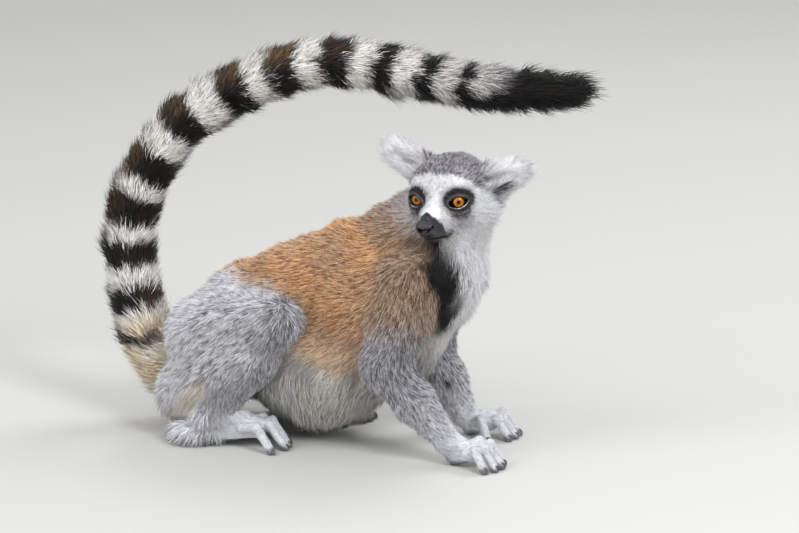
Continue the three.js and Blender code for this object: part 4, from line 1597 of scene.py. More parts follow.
@dataclass
class Coat:
    """The coat of solid tufts over the skin."""

    anatomy: Anatomy
    markings: Markings
    skin: Skin
    material: bpy.types.Material
    long: float = 19 * MM  # tufts longer than this are bent along their length
    patch: float = 0.003  # the width of each tuft's patch on the unwrap
    speckle: float = 1.7 * MM  # the width of a speck of tufts of one shade
    seed: int = 500
    growth: Growth = field(init=False)  # at each of the skin's points
    piece_of: Array = field(init=False)  # the number of each triangle's piece

    MOST_TRIANGLES = 196_000

    def __post_init__(self) -> None:
        """Grooms the coat and shares the skin out among its pieces."""
        skin = self.skin
        self.growth = Groomer(self.anatomy).groom(skin.points, skin.normals, skin.weights, skin.parts)
        self.piece_of = self._pieces()

    def _pieces(self) -> Array:
        """The number of the coat piece that each of the skin's triangles belongs to.

        Returns:
            The numbers, in the order of CoatPiece.
        """
        skin = self.skin
        centres = skin.points[skin.triangles].mean(axis=1)
        part = skin.parts[skin.triangles].sum(axis=1).argmax(axis=1)
        order = list(CoatPiece)
        by_part = {
            Part.TRUNK: CoatPiece.FLANKS, Part.NECK: CoatPiece.NECK, Part.HEAD: CoatPiece.CROWN,
            Part.EARS: CoatPiece.EARS, Part.TAIL: CoatPiece.TAIL_MIDDLE,
            Part.ARM_RIGHT: CoatPiece.ARM_RIGHT, Part.ARM_LEFT: CoatPiece.ARM_LEFT,
            Part.HAND_RIGHT: CoatPiece.PAWS, Part.HAND_LEFT: CoatPiece.PAWS,
            Part.THIGH_RIGHT: CoatPiece.THIGH_RIGHT, Part.THIGH_LEFT: CoatPiece.THIGH_LEFT,
            Part.SHIN_RIGHT: CoatPiece.SHINS, Part.SHIN_LEFT: CoatPiece.SHINS,
            Part.FOOT_RIGHT: CoatPiece.PAWS, Part.FOOT_LEFT: CoatPiece.PAWS,
        }
        lookup = np.array([order.index(by_part[part]) for part in Part])
        piece = lookup[part]
        ahead = centres[:, 0] / MM
        forward = self.anatomy.head.local(centres)[:, 0]
        trunk = piece == order.index(CoatPiece.FLANKS)
        tail = np.flatnonzero(piece == order.index(CoatPiece.TAIL_MIDDLE))
        length, _ = self.anatomy.tail.measure(centres[tail])
        piece[trunk & (ahead > -35.0)] = order.index(CoatPiece.CHEST)
        piece[trunk & (ahead < -105.0)] = order.index(CoatPiece.LOINS)
        piece[(piece == order.index(CoatPiece.CROWN)) & (forward > 12.0)] = order.index(CoatPiece.FACE)
        piece[tail[length < 215.0]] = order.index(CoatPiece.TAIL_ROOT)
        piece[tail[length > 440.0]] = order.index(CoatPiece.TAIL_END)
        return piece

    def build(self) -> list[bpy.types.Object]:
        """Grows every piece of the coat.

        Returns:
            The pieces' objects.
        """
        made = []
        for number, piece in enumerate(CoatPiece):
            rng = np.random.default_rng(self.seed + number)
            tufts = self._roots(np.flatnonzero(self.piece_of == number), rng)
            made.append(self._grow(piece.value, tufts, rng))
        return made

    def _roots(self, chosen: Array, rng: np.random.Generator) -> Tufts:
        """Scatters roots evenly over some of the skin's triangles.

        Args:
            chosen: The numbers of the triangles.
            rng: The source of chance.

        Returns:
            The roots.
        """
        skin, growth = self.skin, self.growth
        corners = skin.triangles[chosen]
        places = skin.points[corners]
        areas = np.linalg.norm(np.cross(places[:, 1] - places[:, 0], places[:, 2] - places[:, 0]), axis=1)
        wanted = areas / 2.0 / MM**2 * growth.density[corners].mean(axis=1)
        total = wanted.sum()
        count = int(total)
        spots = (np.arange(count) + rng.random(count)) / count * total
        triangle = np.searchsorted(np.cumsum(wanted), spots).clip(0, len(chosen) - 1)
        first, second = np.sqrt(rng.random(count)), rng.random(count)
        shares = np.stack((1.0 - first, first * (1.0 - second), first * second), axis=1)
        picked = corners[triangle]

        def blend(values: Array) -> Array:
            """The skin's values between the three corners.

            Args:
                values: The values at all the skin's points.

            Returns:
                The values at the roots.
            """
            if values.ndim == 1:
                return np.sum(values[picked] * shares, axis=1)
            return np.einsum("ijk,ij->ik", values[picked], shares)

        unwrapped = unwrap(skin.points, corners)
        patch = np.einsum("ijk,ij->ik", unwrapped[triangle], shares)
        grown = Growth(
            unit(blend(growth.lie)), blend(growth.length), blend(growth.lift), blend(growth.width),
            blend(growth.density), blend(growth.clump),
        )
        return Tufts(blend(skin.points), unit(blend(skin.normals)), grown, blend(skin.parts), patch)

    def _grow(self, name: str, tufts: Tufts, rng: np.random.Generator) -> bpy.types.Object:
        """Makes one piece of the coat from its roots.

        Args:
            name: The piece's name.
            tufts: Its roots.
            rng: The source of chance.

        Returns:
            The piece's object.
        """
        count = len(tufts.roots)
        growth = tufts.growth
        to_lock, lock_chance = self._locks(tufts.roots)
        length = growth.length * rng.uniform(0.72, 1.14, count) * (0.9 + 0.2 * lock_chance[:, 0])
        lift = growth.lift + np.radians(rng.normal(0.0, 7.0, count)) + (lock_chance[:, 1] - 0.5) * 0.2
        lift = np.clip(lift, math.radians(4.0), math.radians(75.0))
        sideways = np.cross(tufts.normals, growth.lie)
        stray = rng.normal(0.0, 0.15, count) + (lock_chance[:, 2] - 0.5) * 0.28
        lie = unit(growth.lie + sideways * stray[:, None])
        axis = lie * np.cos(lift)[:, None] + tufts.normals * np.sin(lift)[:, None]
        across = unit(np.cross(axis, tufts.normals))
        outward = np.cross(across, axis)
        tip = tufts.roots + axis * length[:, None]
        level = to_lock - tufts.normals * np.sum(to_lock * tufts.normals, axis=1)[:, None]
        tip += level * growth.clump[:, None]
        half = growth.width * rng.uniform(0.35, 0.65, count)
        middle = mix(tufts.roots, tip, 0.62)
        blur = rng.normal(0.0, 1.0, (count, 3)) * (0.4 * MM + 0.08 * length)[:, None]
        seen = self.markings.paint(middle + blur, tufts.parts)
        cells = np.floor(middle / self.speckle).astype(np.int64)
        spots = lattice_chance(cells, 9)[:, 0]
        bent = growth.length > self.long
        builder = TuftMesh(self.patch)
        for chosen, shape in ((~bent, TuftShape.TENT), (bent, TuftShape.BENT)):
            if not np.any(chosen):
                continue
            bend = tufts.normals[chosen] * (-0.10 * length[chosen])[:, None]
            builder.add(
                shape, tufts.roots[chosen], tip[chosen], across[chosen] * half[chosen, None],
                outward[chosen] * half[chosen, None], bend, tufts.normals[chosen],
                self._tones(seen[chosen], spots[chosen], rng), tufts.patch[chosen],
            )
        made = builder.finish(name, self.anatomy.origin, self.MOST_TRIANGLES)
        made.data.materials.append(self.material)
        return made

    @staticmethod
    def _locks(roots: Array, size: float = 5.5 * MM) -> tuple[Array, Array]:
        """Gathers roots into locks, each round the nearest of many scattered centres.

        Args:
            roots: The roots.
            size: The usual distance between centres.

        Returns:
            The step from each root to its lock's centre, and three chances from 0 to 1 that a lock shares.
        """
        cell = np.floor(roots / size).astype(np.int64)
        nearest = np.full(len(roots), FAR)
        step = np.zeros_like(roots)
        chance = np.zeros_like(roots)
        for shift in np.ndindex(3, 3, 3):
            there = cell + np.array(shift) - 1
            jitter = lattice_chance(there, 1)
            away = (there + jitter) * size - roots
            distance = np.linalg.norm(away, axis=1)
            nearer = distance < nearest
            nearest[nearer] = distance[nearer]
            step[nearer] = away[nearer]
            chance[nearer] = lattice_chance(there[nearer], 2)
        return step, chance

    @staticmethod
    def _tones(rows: Array, spots: Array, rng: np.random.Generator) -> tuple[Array, Array, Array]:
        """Picks each tuft's own colour and shades it from root to tip, the roots darker for the hair's own
        dark base and for painted shade deep in the coat.

        Args:
            rows: The coat's colours at the tufts.
            spots: A chance from 0 to 1 that tufts close together share.
            rng: The source of chance.

        Returns:
            The colours at the root, at the middle and at the tip.
        """
        count = len(rows)
        base, light, dark, grain = rows[:, 0:3], rows[:, 3:6], rows[:, 6:9], rows[:, 9]
        chance = np.where(rng.random(count) < 0.8, spots, rng.random(count))
        strength = rng.uniform(0.55, 1.0, count)[:, None]
        is_light = (chance < grain * 0.36)[:, None]
        is_dark = (chance > 1.0 - grain * 0.3)[:, None]
        own = np.where(is_light, mix(base, light, strength * 0.75), base)
        own = np.where(is_dark, mix(base, dark, strength * 0.75), own)
        own = own * rng.uniform(0.92, 1.08, count)[:, None]
        tip = np.where(is_light, mix(own, light, strength), mix(own, light, 0.15))
        tip = np.where(is_dark, mix(own, dark, strength), tip)
        # The roots are darker: partly the hair's own dark base, partly painted shade deep in the coat, less
        # so in light coats.
        depth = 0.36 + 0.52 * base.mean(axis=1, keepdims=True)
        return own * depth + dark * 0.1, own, tip


def lattice_chance(cells: Array, salt: int) -> Array:
    """Three repeatable chances from 0 to 1 for each cell of a lattice.

    Args:
        cells: The cells' whole numbers.
        salt: A number that makes one set of chances differ from another.

    Returns:
        The chances.
    """
    mixed = cells[:, 0] * 73856093 ^ cells[:, 1] * 19349663 ^ cells[:, 2] * 83492791 ^ salt * 2654435761
    chances = []
    for step in range(3):
        mixed = (mixed * 6364136223846793005 + 1442695040888963407 + step) & 0x7FFFFFFFFFFFFFFF
        chances.append(((mixed >> 24) & 0xFFFFFF) / float(0x1000000))
    return np.stack(chances, axis=1)


def unwrap(points: Array, corners: Array) -> Array:
    """Unwraps some of the skin's triangles by their own shape.

    Args:
        points: The skin's points.
        corners: The triangles, as numbers of points.

    Returns:
        The place of each triangle's three corners on the unwrap.
    """
    used, local = np.unique(corners, return_inverse=True)
    mesh = bpy.data.meshes.new("unwrap")
    mesh.from_pydata(points[used], [], local.reshape(-1, 3))
    patch = link_object("unwrap", mesh)
    bpy.context.view_layer.objects.active = patch
    patch.select_set(True)
    bpy.ops.object.mode_set(mode="EDIT")
    bpy.ops.mesh.select_all(action="SELECT")
    bpy.ops.uv.smart_project(angle_limit=math.radians(66.0), island_margin=0.004)
    bpy.ops.object.mode_set(mode="OBJECT")
    flat = np.empty(len(mesh.loops) * 2, dtype=np.float32)
    mesh.uv_layers.active.data.foreach_get("uv", flat)
    bpy.data.objects.remove(patch)
    bpy.data.meshes.remove(mesh)
    return flat.reshape(-1, 3, 2).astype(float)


@dataclass(frozen=True)
class TuftForm:
    """How a tuft's corners and faces are laid out.

    Each corner has a share along the tuft, a step across it, a step out from it and a share of its bend.
    """

    corners: tuple[tuple[float, float, float, float], ...]
    faces: tuple[tuple[int, int, int], ...]


class TuftShape(Enum):
    """The two shapes of tuft: a straight ridged one, and a longer one that bends."""

    TENT = TuftForm(
        corners=((0.0, -1.0, -0.3, 0.0), (0.0, 1.0, -0.3, 0.0), (0.42, 0.0, 1.1, 0.0), (1.0, 0.0, 0.0, 0.0)),
        faces=((0, 1, 2), (1, 3, 2), (3, 0, 2)),
    )
    BENT = TuftForm(
        corners=(
            (0.0, -1.0, -0.3, 0.0), (0.0, 1.0, -0.3, 0.0), (0.5, 0.0, 1.1, -1.0), (0.55, -0.9, 0.0, -1.0),
            (0.55, 0.9, 0.0, -1.0), (1.0, 0.0, 0.0, 0.6),
        ),
        faces=((0, 1, 2), (1, 4, 2), (4, 5, 2), (5, 3, 2), (3, 0, 2)),
    )


@dataclass
class TuftMesh:
    """Gathers tufts into one mesh."""

    patch: float  # the width of each tuft's patch on the unwrap
    points: list[Array] = field(default_factory=list)
    normals: list[Array] = field(default_factory=list)
    colours: list[Array] = field(default_factory=list)
    places: list[Array] = field(default_factory=list)
    faces: list[Array] = field(default_factory=list)
    count: int = 0
    lowest: float = 0.3 * MM  # how far above the floor every tuft stays

    def add(
        self, shape: TuftShape, roots: Array, tips: Array, across: Array, outward: Array, bend: Array,
        normals: Array, tones: tuple[Array, Array, Array], patch: Array,
    ) -> None:
        """Adds many tufts of one shape.

        Args:
            shape: Their shape.
            roots: Their roots.
            tips: Their tips.
            across: Half their width, as a step to one side.
            outward: The same step away from the skin.
            bend: The step that their tips bend by.
            normals: The skin's outward direction at each root.
            tones: Their colours at the root, the middle and the tip.
            patch: Their places on the unwrap.
        """
        form = shape.value
        root_tone, middle_tone, tip_tone = tones
        along = tips - roots
        points, shading, paint, places = [], [], [], []
        for share, sideways, out, bent in form.corners:
            points.append(roots + along * share + across * sideways + outward * out + bend * bent)
            shading.append(unit(normals + unit(across) * sideways * 0.45 + unit(along) * 0.15 * share))
            if share < 0.5:
                paint.append(mix(root_tone, middle_tone, share * 2.0))
            else:
                paint.append(mix(middle_tone, tip_tone, share * 2.0 - 1.0))
            places.append(patch + np.array((sideways * 0.5, share - 0.5)) * self.patch)
        corner_count = len(form.corners)
        base = self.count + np.arange(len(roots))[:, None, None] * corner_count
        self.faces.append((base + np.array(form.faces)).reshape(-1, 3))
        self.points.append(np.stack(points, axis=1).reshape(-1, 3))
        self.normals.append(np.stack(shading, axis=1).reshape(-1, 3))
        self.colours.append(np.stack(paint, axis=1).reshape(-1, 3))
        self.places.append(np.stack(places, axis=1).reshape(-1, 2))
        self.count += len(roots) * corner_count

    def finish(self, name: str, origin: Array, most: int) -> bpy.types.Object:
        """Makes the mesh.

        Args:
            name: The object's name.
            origin: The step from the body's own metres to the frame's.
            most: The most triangles that the piece may have.

        Returns:
            The object.
        """
        faces = np.concatenate(self.faces).astype(np.int32)
        points = np.concatenate(self.points) + origin
        points[:, 2] = np.maximum(points[:, 2], self.lowest)
        if len(faces) > most:
            raise ValueError(f"{name} has {len(faces)} triangles, more than {most}")
        mesh = bpy.data.meshes.new(name)
        mesh.vertices.add(len(points))
        mesh.vertices.foreach_set("co", points.astype(np.float32).ravel())
        mesh.loops.add(faces.size)
        mesh.loops.foreach_set("vertex_index", faces.ravel())
        mesh.polygons.add(len(faces))
        mesh.polygons.foreach_set("loop_start", np.arange(0, faces.size, 3, dtype=np.int32))
        mesh.update(calc_edges=True)
        shade = mesh.attributes.new("custom_normal", "FLOAT_VECTOR", "POINT")
        shade.data.foreach_set("vector", np.concatenate(self.normals).astype(np.float32).ravel())
        colours = np.concatenate(self.colours)
        shown = np.concatenate((colours, np.ones((len(colours), 1))), axis=1)
        paint = mesh.color_attributes.new("markings", "FLOAT_COLOR", "POINT")
        paint.data.foreach_set("color", np.clip(shown, 0.0, 1.0).astype(np.float32).ravel())
        places = np.concatenate(self.places)[faces.ravel()]
        layer = mesh.uv_layers.new(name="OFBake")
        layer.data.foreach_set("uv", np.clip(places, 0.0, 1.0).astype(np.float32).ravel())
        LOG.info("%s: %d triangles", name, len(faces))
        return link_object(name, mesh)


# ---------------------------------------------------------------- finishes
@dataclass(frozen=True)
class Wiring:
    """Adds nodes to a tree, each with its settings and with what feeds its inputs."""

    tree: bpy.types.NodeTree

    def feed(self, node: bpy.types.Node, inputs: dict[str | int, object]) -> bpy.types.Node:
        """Sets a node's inputs.

        Args:
            node: The node.
            inputs: For each input, by its name or number, a value or the output that feeds it.

        Returns:
            The same node.
        """
        for name, source in inputs.items():
            if isinstance(source, Socket):
                self.tree.links.new(source, node.inputs[name])
            else:
                node.inputs[name].default_value = source
        return node

    def add(self, kind: str, inputs: dict[str | int, object], **settings: object) -> bpy.types.Node:
        """Adds a node.

        Args:
            kind: Its kind.
            inputs: What feeds its inputs.
            settings: Its own settings.

        Returns:
            The node.
        """
        node = self.tree.nodes.new(kind)
        for name, value in settings.items():
            setattr(node, name, value)
        return self.feed(node, inputs)

    def reckon(self, operation: str, *terms: object) -> Socket:
        """The result of an operation on numbers."""
        return self.add("ShaderNodeMath", dict(enumerate(terms)), operation=operation).outputs["Value"]

    def attribute(self, name: str) -> bpy.types.Node:
        """A node that reads an attribute of the mesh."""
        return self.add("ShaderNodeAttribute", {}, attribute_name=name)

    def place(self) -> Socket:
        """The place on the object."""
        return self.add("ShaderNodeTexCoord", {}).outputs["Object"]

    def noise(self, place: Socket, scale: float, detail: float) -> Socket:
        """Noise from 0 to 1 at a place, of a given scale and detail."""
        inputs = {"Vector": place, "Scale": scale, "Detail": detail}
        return self.add("ShaderNodeTexNoise", inputs).outputs["Fac"]

    def bump(self, height: Socket, strength: float, depth: float) -> Socket:
        """The surface's direction, bumped by a height with a strength from 0 to 1 and a depth in metres."""
        inputs = {"Strength": strength, "Distance": depth, "Height": height}
        return self.add("ShaderNodeBump", inputs).outputs["Normal"]

    def shade(
        self, tone: Socket, value: Socket, span: tuple[float, float],
        brightness: tuple[float, float],
    ) -> Socket:
        """Makes a colour darker and lighter by a value.

        Args:
            tone: The colour.
            value: The value.
            span: The value's lowest and highest.
            brightness: The factor on the colour at each of them.

        Returns:
            The shaded colour.
        """
        factor = self.add("ShaderNodeMapRange", {
            "Value": value, "From Min": span[0], "From Max": span[1],
            "To Min": brightness[0], "To Max": brightness[1],
        })
        inputs = {0: tone, "Scale": factor.outputs["Result"]}
        return self.add("ShaderNodeVectorMath", inputs, operation="SCALE").outputs["Vector"]

    def tones(self, value: Socket, stops: tuple[tuple[float, Array], ...]) -> Socket:
        """A colour that follows a value.

        Args:
            value: The value, from 0 to 1.
            stops: Values with the colour at each, the first at 0 and the last at 1.

        Returns:
            The colour.
        """
        node = self.add("ShaderNodeValToRGB", {"Fac": value})
        elements = node.color_ramp.elements
        elements[0].color = (*stops[0][1], 1.0)
        elements[1].color = (*stops[-1][1], 1.0)
        for position, tone in stops[1:-1]:
            elements.new(position).color = (*tone, 1.0)
        return node.outputs["Color"]


def new_material(name: str) -> tuple[bpy.types.Material, Wiring, bpy.types.Node]:
    """A material with its shader.

    Args:
        name: The material's name.

    Returns:
        The material, the wiring of its node tree and its shader node.
    """
    material = bpy.data.materials.new(name)
    material.use_nodes = True
    return material, Wiring(material.node_tree), material.node_tree.nodes["Principled BSDF"]


@dataclass(frozen=True)
class FurFinish:
    """Hair that takes its colour from its markings and varies a little in brightness."""

    roughness: float = 0.62
    sheen: float = 0.12
    specular: float = 0.2
    mottle: float = 0.16

    def material(self) -> bpy.types.Material:
        """Builds the material.

        Returns:
            The material.
        """
        material, wiring, shader = new_material("fur")
        noise = wiring.noise(wiring.place(), 420.0, 3.0)
        brightness = (1.0 - self.mottle, 1.0 + self.mottle)
        wiring.feed(shader, {
            "Base Color": wiring.shade(
                wiring.attribute("markings").outputs["Color"], noise, (0.3, 0.7), brightness
            ),
            "Roughness": self.roughness,
            "Sheen Weight": self.sheen,
            "Specular IOR Level": self.specular,
        })
        return material


@dataclass(frozen=True)
class SkinFinish:
    """Fine-grained skin: dark and leathery on nose, lids and pads, in the coat's colours elsewhere."""

    roughness: float = 0.55
    moist_roughness: float = 0.1
    grain: float = 2300.0
    grain_depth: float = 0.0004  # metres

    def material(self) -> bpy.types.Material:
        """Builds the material.

        Returns:
            The material.
        """
        material, wiring, shader = new_material("skin")
        markings = wiring.attribute("markings")
        place = wiring.place()
        cells = wiring.add("ShaderNodeTexVoronoi", {"Vector": place, "Scale": self.grain})
        noise = wiring.noise(place, 300.0, 5.0)
        rough = wiring.add("ShaderNodeMapRange", {
            "Value": markings.outputs["Alpha"], "To Min": self.roughness, "To Max": self.moist_roughness,
        })
        wiring.feed(shader, {
            "Base Color": wiring.shade(markings.outputs["Color"], noise, (0.0, 1.0), (0.75, 1.2)),
            "Normal": wiring.bump(cells.outputs["Distance"], 0.35, self.grain_depth),
            "Roughness": wiring.reckon("MULTIPLY_ADD", noise, 0.16, rough.outputs["Result"]),
        })
        return material


@dataclass(frozen=True)
class EyeFinish:
    """A wet eye: a small pupil, a fibrous orange iris with a dark rim, and a dark white."""

    iris_angle: float = 34.0  # degrees from the gaze to the edge of the iris
    pupil_angle: float = 9.0
    behind_angle: float = 90.0  # where the colours end
    coat: float = 0.7

    def material(self) -> bpy.types.Material:
        """Builds the material, which reads the direction round the gaze and the angle from it.

        Returns:
            The material.
        """
        material, wiring, shader = new_material("eye")
        polar = wiring.attribute("polar").outputs["Vector"]
        angle = wiring.add("ShaderNodeSeparateXYZ", {"Vector": polar}).outputs["Z"]
        stretch = wiring.add("ShaderNodeVectorMath", {0: polar, 1: (9.0, 9.0, 0.07)}, operation="MULTIPLY")
        fibres = wiring.noise(stretch.outputs["Vector"], 1.0, 4.0)
        wander = wiring.reckon("MULTIPLY_ADD", fibres, 0.03, -0.015)
        share = wiring.reckon("MULTIPLY_ADD", angle, 1.0 / self.behind_angle, wander)
        pupil, iris = self.pupil_angle / self.behind_angle, self.iris_angle / self.behind_angle
        rings = wiring.tones(share, (
            (0.0, colour(2, 2, 2)), (pupil, colour(3, 2, 2)), (pupil + 0.02, colour(112, 60, 1)),
            (mix(pupil, iris, 0.45), colour(172, 113, 2)), (iris - 0.07, colour(160, 92, 1)),
            (iris - 0.025, colour(92, 44, 2)), (iris + 0.01, colour(16, 7, 5)), (1.0, colour(12, 7, 6)),
        ))
        wiring.feed(shader, {
            "Base Color": wiring.shade(rings, fibres, (0.3, 0.7), (0.62, 1.35)),
            "Roughness": 0.5,
            "Specular IOR Level": 0.0,
            "Coat Weight": self.coat,
            "Coat Roughness": 0.02,
            "Coat IOR": 1.4,
        })
        return material


@dataclass(frozen=True)
class NailFinish:
    """Smooth dark horn, a little mottled."""

    roughness: float = 0.32
    ridge_depth: float = 0.0002  # metres

    def material(self) -> bpy.types.Material:
        """Builds the material.

        Returns:
            The material.
        """
        material, wiring, shader = new_material("nail")
        noise = wiring.noise(wiring.place(), 600.0, 4.0)
        wiring.feed(shader, {
            "Base Color": wiring.tones(noise, ((0.0, colour(30, 26, 26)), (1.0, colour(70, 62, 58)))),
            "Normal": wiring.bump(noise, 0.3, self.ridge_depth),
            "Roughness": self.roughness,
        })
        return material


# ---------------------------------------------------------------- eyes, nails and whiskers
@dataclass
class Eye:
    """One eyeball with a bulging cornea."""

    name: str
    place: EyePlace
    anatomy: Anatomy
    material: bpy.types.Material
    rings: int = 40
    sides: int = 48
    bulge: float = 0.5  # how far the cornea stands out, in millimetres
    cornea_angle: float = 40.0

    def build(self) -> bpy.types.Object:
        """Makes the eyeball.

        Returns:
            Its object.
        """
        place = self.place
        angles = np.linspace(0.0, math.pi, self.rings + 1)
        turns = np.linspace(0.0, 2.0 * math.pi, self.sides, endpoint=False)
        aside = unit(np.cross(place.up, place.look))
        over = np.cross(place.look, aside)
        points, polar = [], []
        for angle in angles:
            lift = self.bulge * ramp(np.array(math.degrees(angle)), self.cornea_angle, 0.0)
            radius = (self.anatomy.EYE_RADIUS + float(lift)) * MM
            for turn in turns if 0.0 < angle < math.pi else (0.0,):
                away = aside * math.cos(turn) + over * math.sin(turn)
                way = place.look * math.cos(angle) + away * math.sin(angle)
                points.append(place.centre + way * radius)
                polar.append((math.cos(turn), math.sin(turn), math.degrees(angle)))
        mesh = bpy.data.meshes.new(self.name)
        mesh.from_pydata(np.array(points) + self.anatomy.origin, [], self._faces(len(points) - 1))
        mesh.polygons.foreach_set("use_smooth", np.ones(len(mesh.polygons), dtype=bool))
        layer = mesh.attributes.new("polar", "FLOAT_VECTOR", "POINT")
        layer.data.foreach_set("vector", np.array(polar, dtype=np.float32).ravel())
        mesh.update()
        mesh.materials.append(self.material)
        return link_object(self.name, mesh)

    def _faces(self, last: int) -> list[tuple[int, ...]]:
        """The faces from pole to pole.

        Args:
            last: The number of the last point, which is the pole behind.

        Returns:
            The faces, as numbers of points.
        """
        final = 1 + (self.rings - 2) * self.sides
        faces = [(0, 1 + side, 1 + (side + 1) % self.sides) for side in range(self.sides)]
        for here in range(1, final, self.sides):
            there = here + self.sides
            for side in range(self.sides):
                after = (side + 1) % self.sides
                faces.append((here + side, there + side, there + after, here + after))
        return faces + [(final + side, last, final + (side + 1) % self.sides) for side in range(self.sides)]


@dataclass
class Nails:
    """The twenty nails, one form laid on every digit by a node tree."""

    anatomy: Anatomy
    material: bpy.types.Material
    size: tuple[float, float, float] = (3.6, 1.9, 0.75)  # half its length, width and height, in millimetres
    claw_size: tuple[float, float, float] = (5.2, 1.1, 1.0)  # the same for the grooming claw
    lift: float = 3.3  # how far above the digit's middle a nail lies
    claw_lift: float = 3.9

    def build(self) -> bpy.types.Object:
        """Makes the nails.

        Returns:
            Their object.
        """
        places, turns, sizes = [], [], []
        for digit in self.anatomy.digits:
            aim = unit(digit.reach * np.array((1.0, 1.0, 0.75)))
            side = unit(np.cross(UP, aim))
            top = np.cross(aim, side)
            lift = self.claw_lift if digit.grooming else self.lift
            places.append(digit.tip - digit.reach * 0.6 * MM + top * lift * MM + self.anatomy.origin)
            matrix = Matrix(np.stack((aim, side, top), axis=1).tolist())
            turns.append(tuple(matrix.to_euler("XYZ")))
            sizes.append(self.claw_size if digit.grooming else self.size)
        mesh = bpy.data.meshes.new("nails")
        mesh.from_pydata(np.array(places), [], [])
        for name, values in (("turn", turns), ("size", sizes)):
            layer = mesh.attributes.new(name, "FLOAT_VECTOR", "POINT")
            layer.data.foreach_set("vector", np.array(values, dtype=np.float32).ravel())
        seeds = link_object("nail_places", mesh)
        modifier = seeds.modifiers.new("nails", "NODES")
        modifier.node_group = self._tree()
        socket = modifier.node_group.interface.items_tree["Scale"].identifier
        modifier[socket] = MM
        evaluated = seeds.evaluated_get(bpy.context.evaluated_depsgraph_get())
        made = bpy.data.meshes.new_from_object(evaluated)
        made.name = "nails"
        seeds.modifiers.remove(modifier)
        bpy.data.objects.remove(seeds)
        made.polygons.foreach_set("use_smooth", np.ones(len(made.polygons), dtype=bool))
        return link_object("nails", made)

    def _tree(self) -> bpy.types.NodeTree:
        """The node tree: one tapered, drooping nail, laid on every point with its own turn and size.

        Returns:
            The tree.
        """
        tree = bpy.data.node_groups.new("lay_nails", "GeometryNodeTree")
        tree.interface.new_socket("Places", in_out="INPUT", socket_type="NodeSocketGeometry")
        tree.interface.new_socket("Scale", in_out="INPUT", socket_type="NodeSocketFloat")
        tree.interface.new_socket("Nails", in_out="OUTPUT", socket_type="NodeSocketGeometry")
        wiring = Wiring(tree)
        entry = wiring.add("NodeGroupInput", {})
        ball = wiring.add("GeometryNodeMeshUVSphere", {"Segments": 14, "Rings": 9, "Radius": 1.0})
        place = wiring.add("GeometryNodeInputPosition", {})
        split = wiring.add("ShaderNodeSeparateXYZ", {"Vector": place.outputs["Position"]})
        along, across, rise = (split.outputs[axis] for axis in "XYZ")
        narrow = wiring.reckon("MULTIPLY", across, wiring.reckon("MULTIPLY_ADD", along, -0.28, 1.0))
        droop = wiring.reckon("MULTIPLY_ADD", wiring.reckon("MULTIPLY", along, along), -0.9, rise)
        formed = wiring.add("ShaderNodeCombineXYZ", {"X": along, "Y": narrow, "Z": droop})
        bend = wiring.add("GeometryNodeSetPosition", {
            "Geometry": ball.outputs["Mesh"], "Position": formed.outputs["Vector"],
        })
        turn, size = (
            wiring.add("GeometryNodeInputNamedAttribute", {"Name": name}, data_type="FLOAT_VECTOR")
            for name in ("turn", "size")
        )
        scale = wiring.add("ShaderNodeVectorMath", {
            0: size.outputs["Attribute"], "Scale": entry.outputs["Scale"],
        }, operation="SCALE")
        lay = wiring.add("GeometryNodeInstanceOnPoints", {
            "Points": entry.outputs["Places"], "Instance": bend.outputs["Geometry"],
            "Rotation": turn.outputs["Attribute"], "Scale": scale.outputs["Vector"],
        })
        realize = wiring.add("GeometryNodeRealizeInstances", {"Geometry": lay.outputs["Instances"]})
        dress = wiring.add("GeometryNodeSetMaterial", {
            "Geometry": realize.outputs["Geometry"], "Material": self.material,
        })
        wiring.add("NodeGroupOutput", {"Nails": dress.outputs["Geometry"]})
        return tree


@dataclass
class Whiskers:
    """The whiskers of the muzzle, in rows on each side."""

    anatomy: Anatomy
    material: bpy.types.Material
    rows: int = 3
    in_row: int = 3
    shortest: float = 15.0  # millimetres
    longest: float = 27.0
    half_width: float = 0.08
    droop: float = -1.6
    patch: float = 0.003  # the width of each whisker's patch on the unwrap
    seed: int = 77

    def build(self) -> bpy.types.Object:
        """Makes the whiskers.

        Returns:
            Their object.
        """
        head = self.anatomy.head
        rng = np.random.default_rng(self.seed)
        roots, tips = [], []
        for side in (RIGHT, LEFT):
            for row in range(self.rows):
                for place in range(self.in_row):
                    root = head.place(53 - place * 3.2, side * (7.4 + place * 0.9), -17 - row * 2.6)
                    way = head.direction(0.25 - 0.2 * place, side, -0.15 - 0.22 * row)
                    roots.append(root)
                    tips.append(root + way * rng.uniform(self.shortest, self.longest) * MM)
        roots, tips = np.array(roots), np.array(tips)
        along = unit(tips - roots)
        across = unit(np.cross(along, head.direction(0.3, 0.0, 1.0)))
        outward = np.cross(across, along)
        count = len(roots)
        tone = np.tile(colour(40, 36, 38), (count, 1))
        patch = np.stack((0.1 + 0.02 * np.arange(count), np.full(count, 0.5)), axis=1)
        builder = TuftMesh(self.patch)
        builder.add(
            TuftShape.BENT, roots, tips, across * self.half_width * MM, outward * self.half_width * MM,
            np.tile(mm(0, 0, self.droop), (count, 1)), outward, (tone, tone, tone * 1.4), patch,
        )
        made = builder.finish("whiskers", self.anatomy.origin, Coat.MOST_TRIANGLES)
        made.data.materials.append(self.material)
        return made


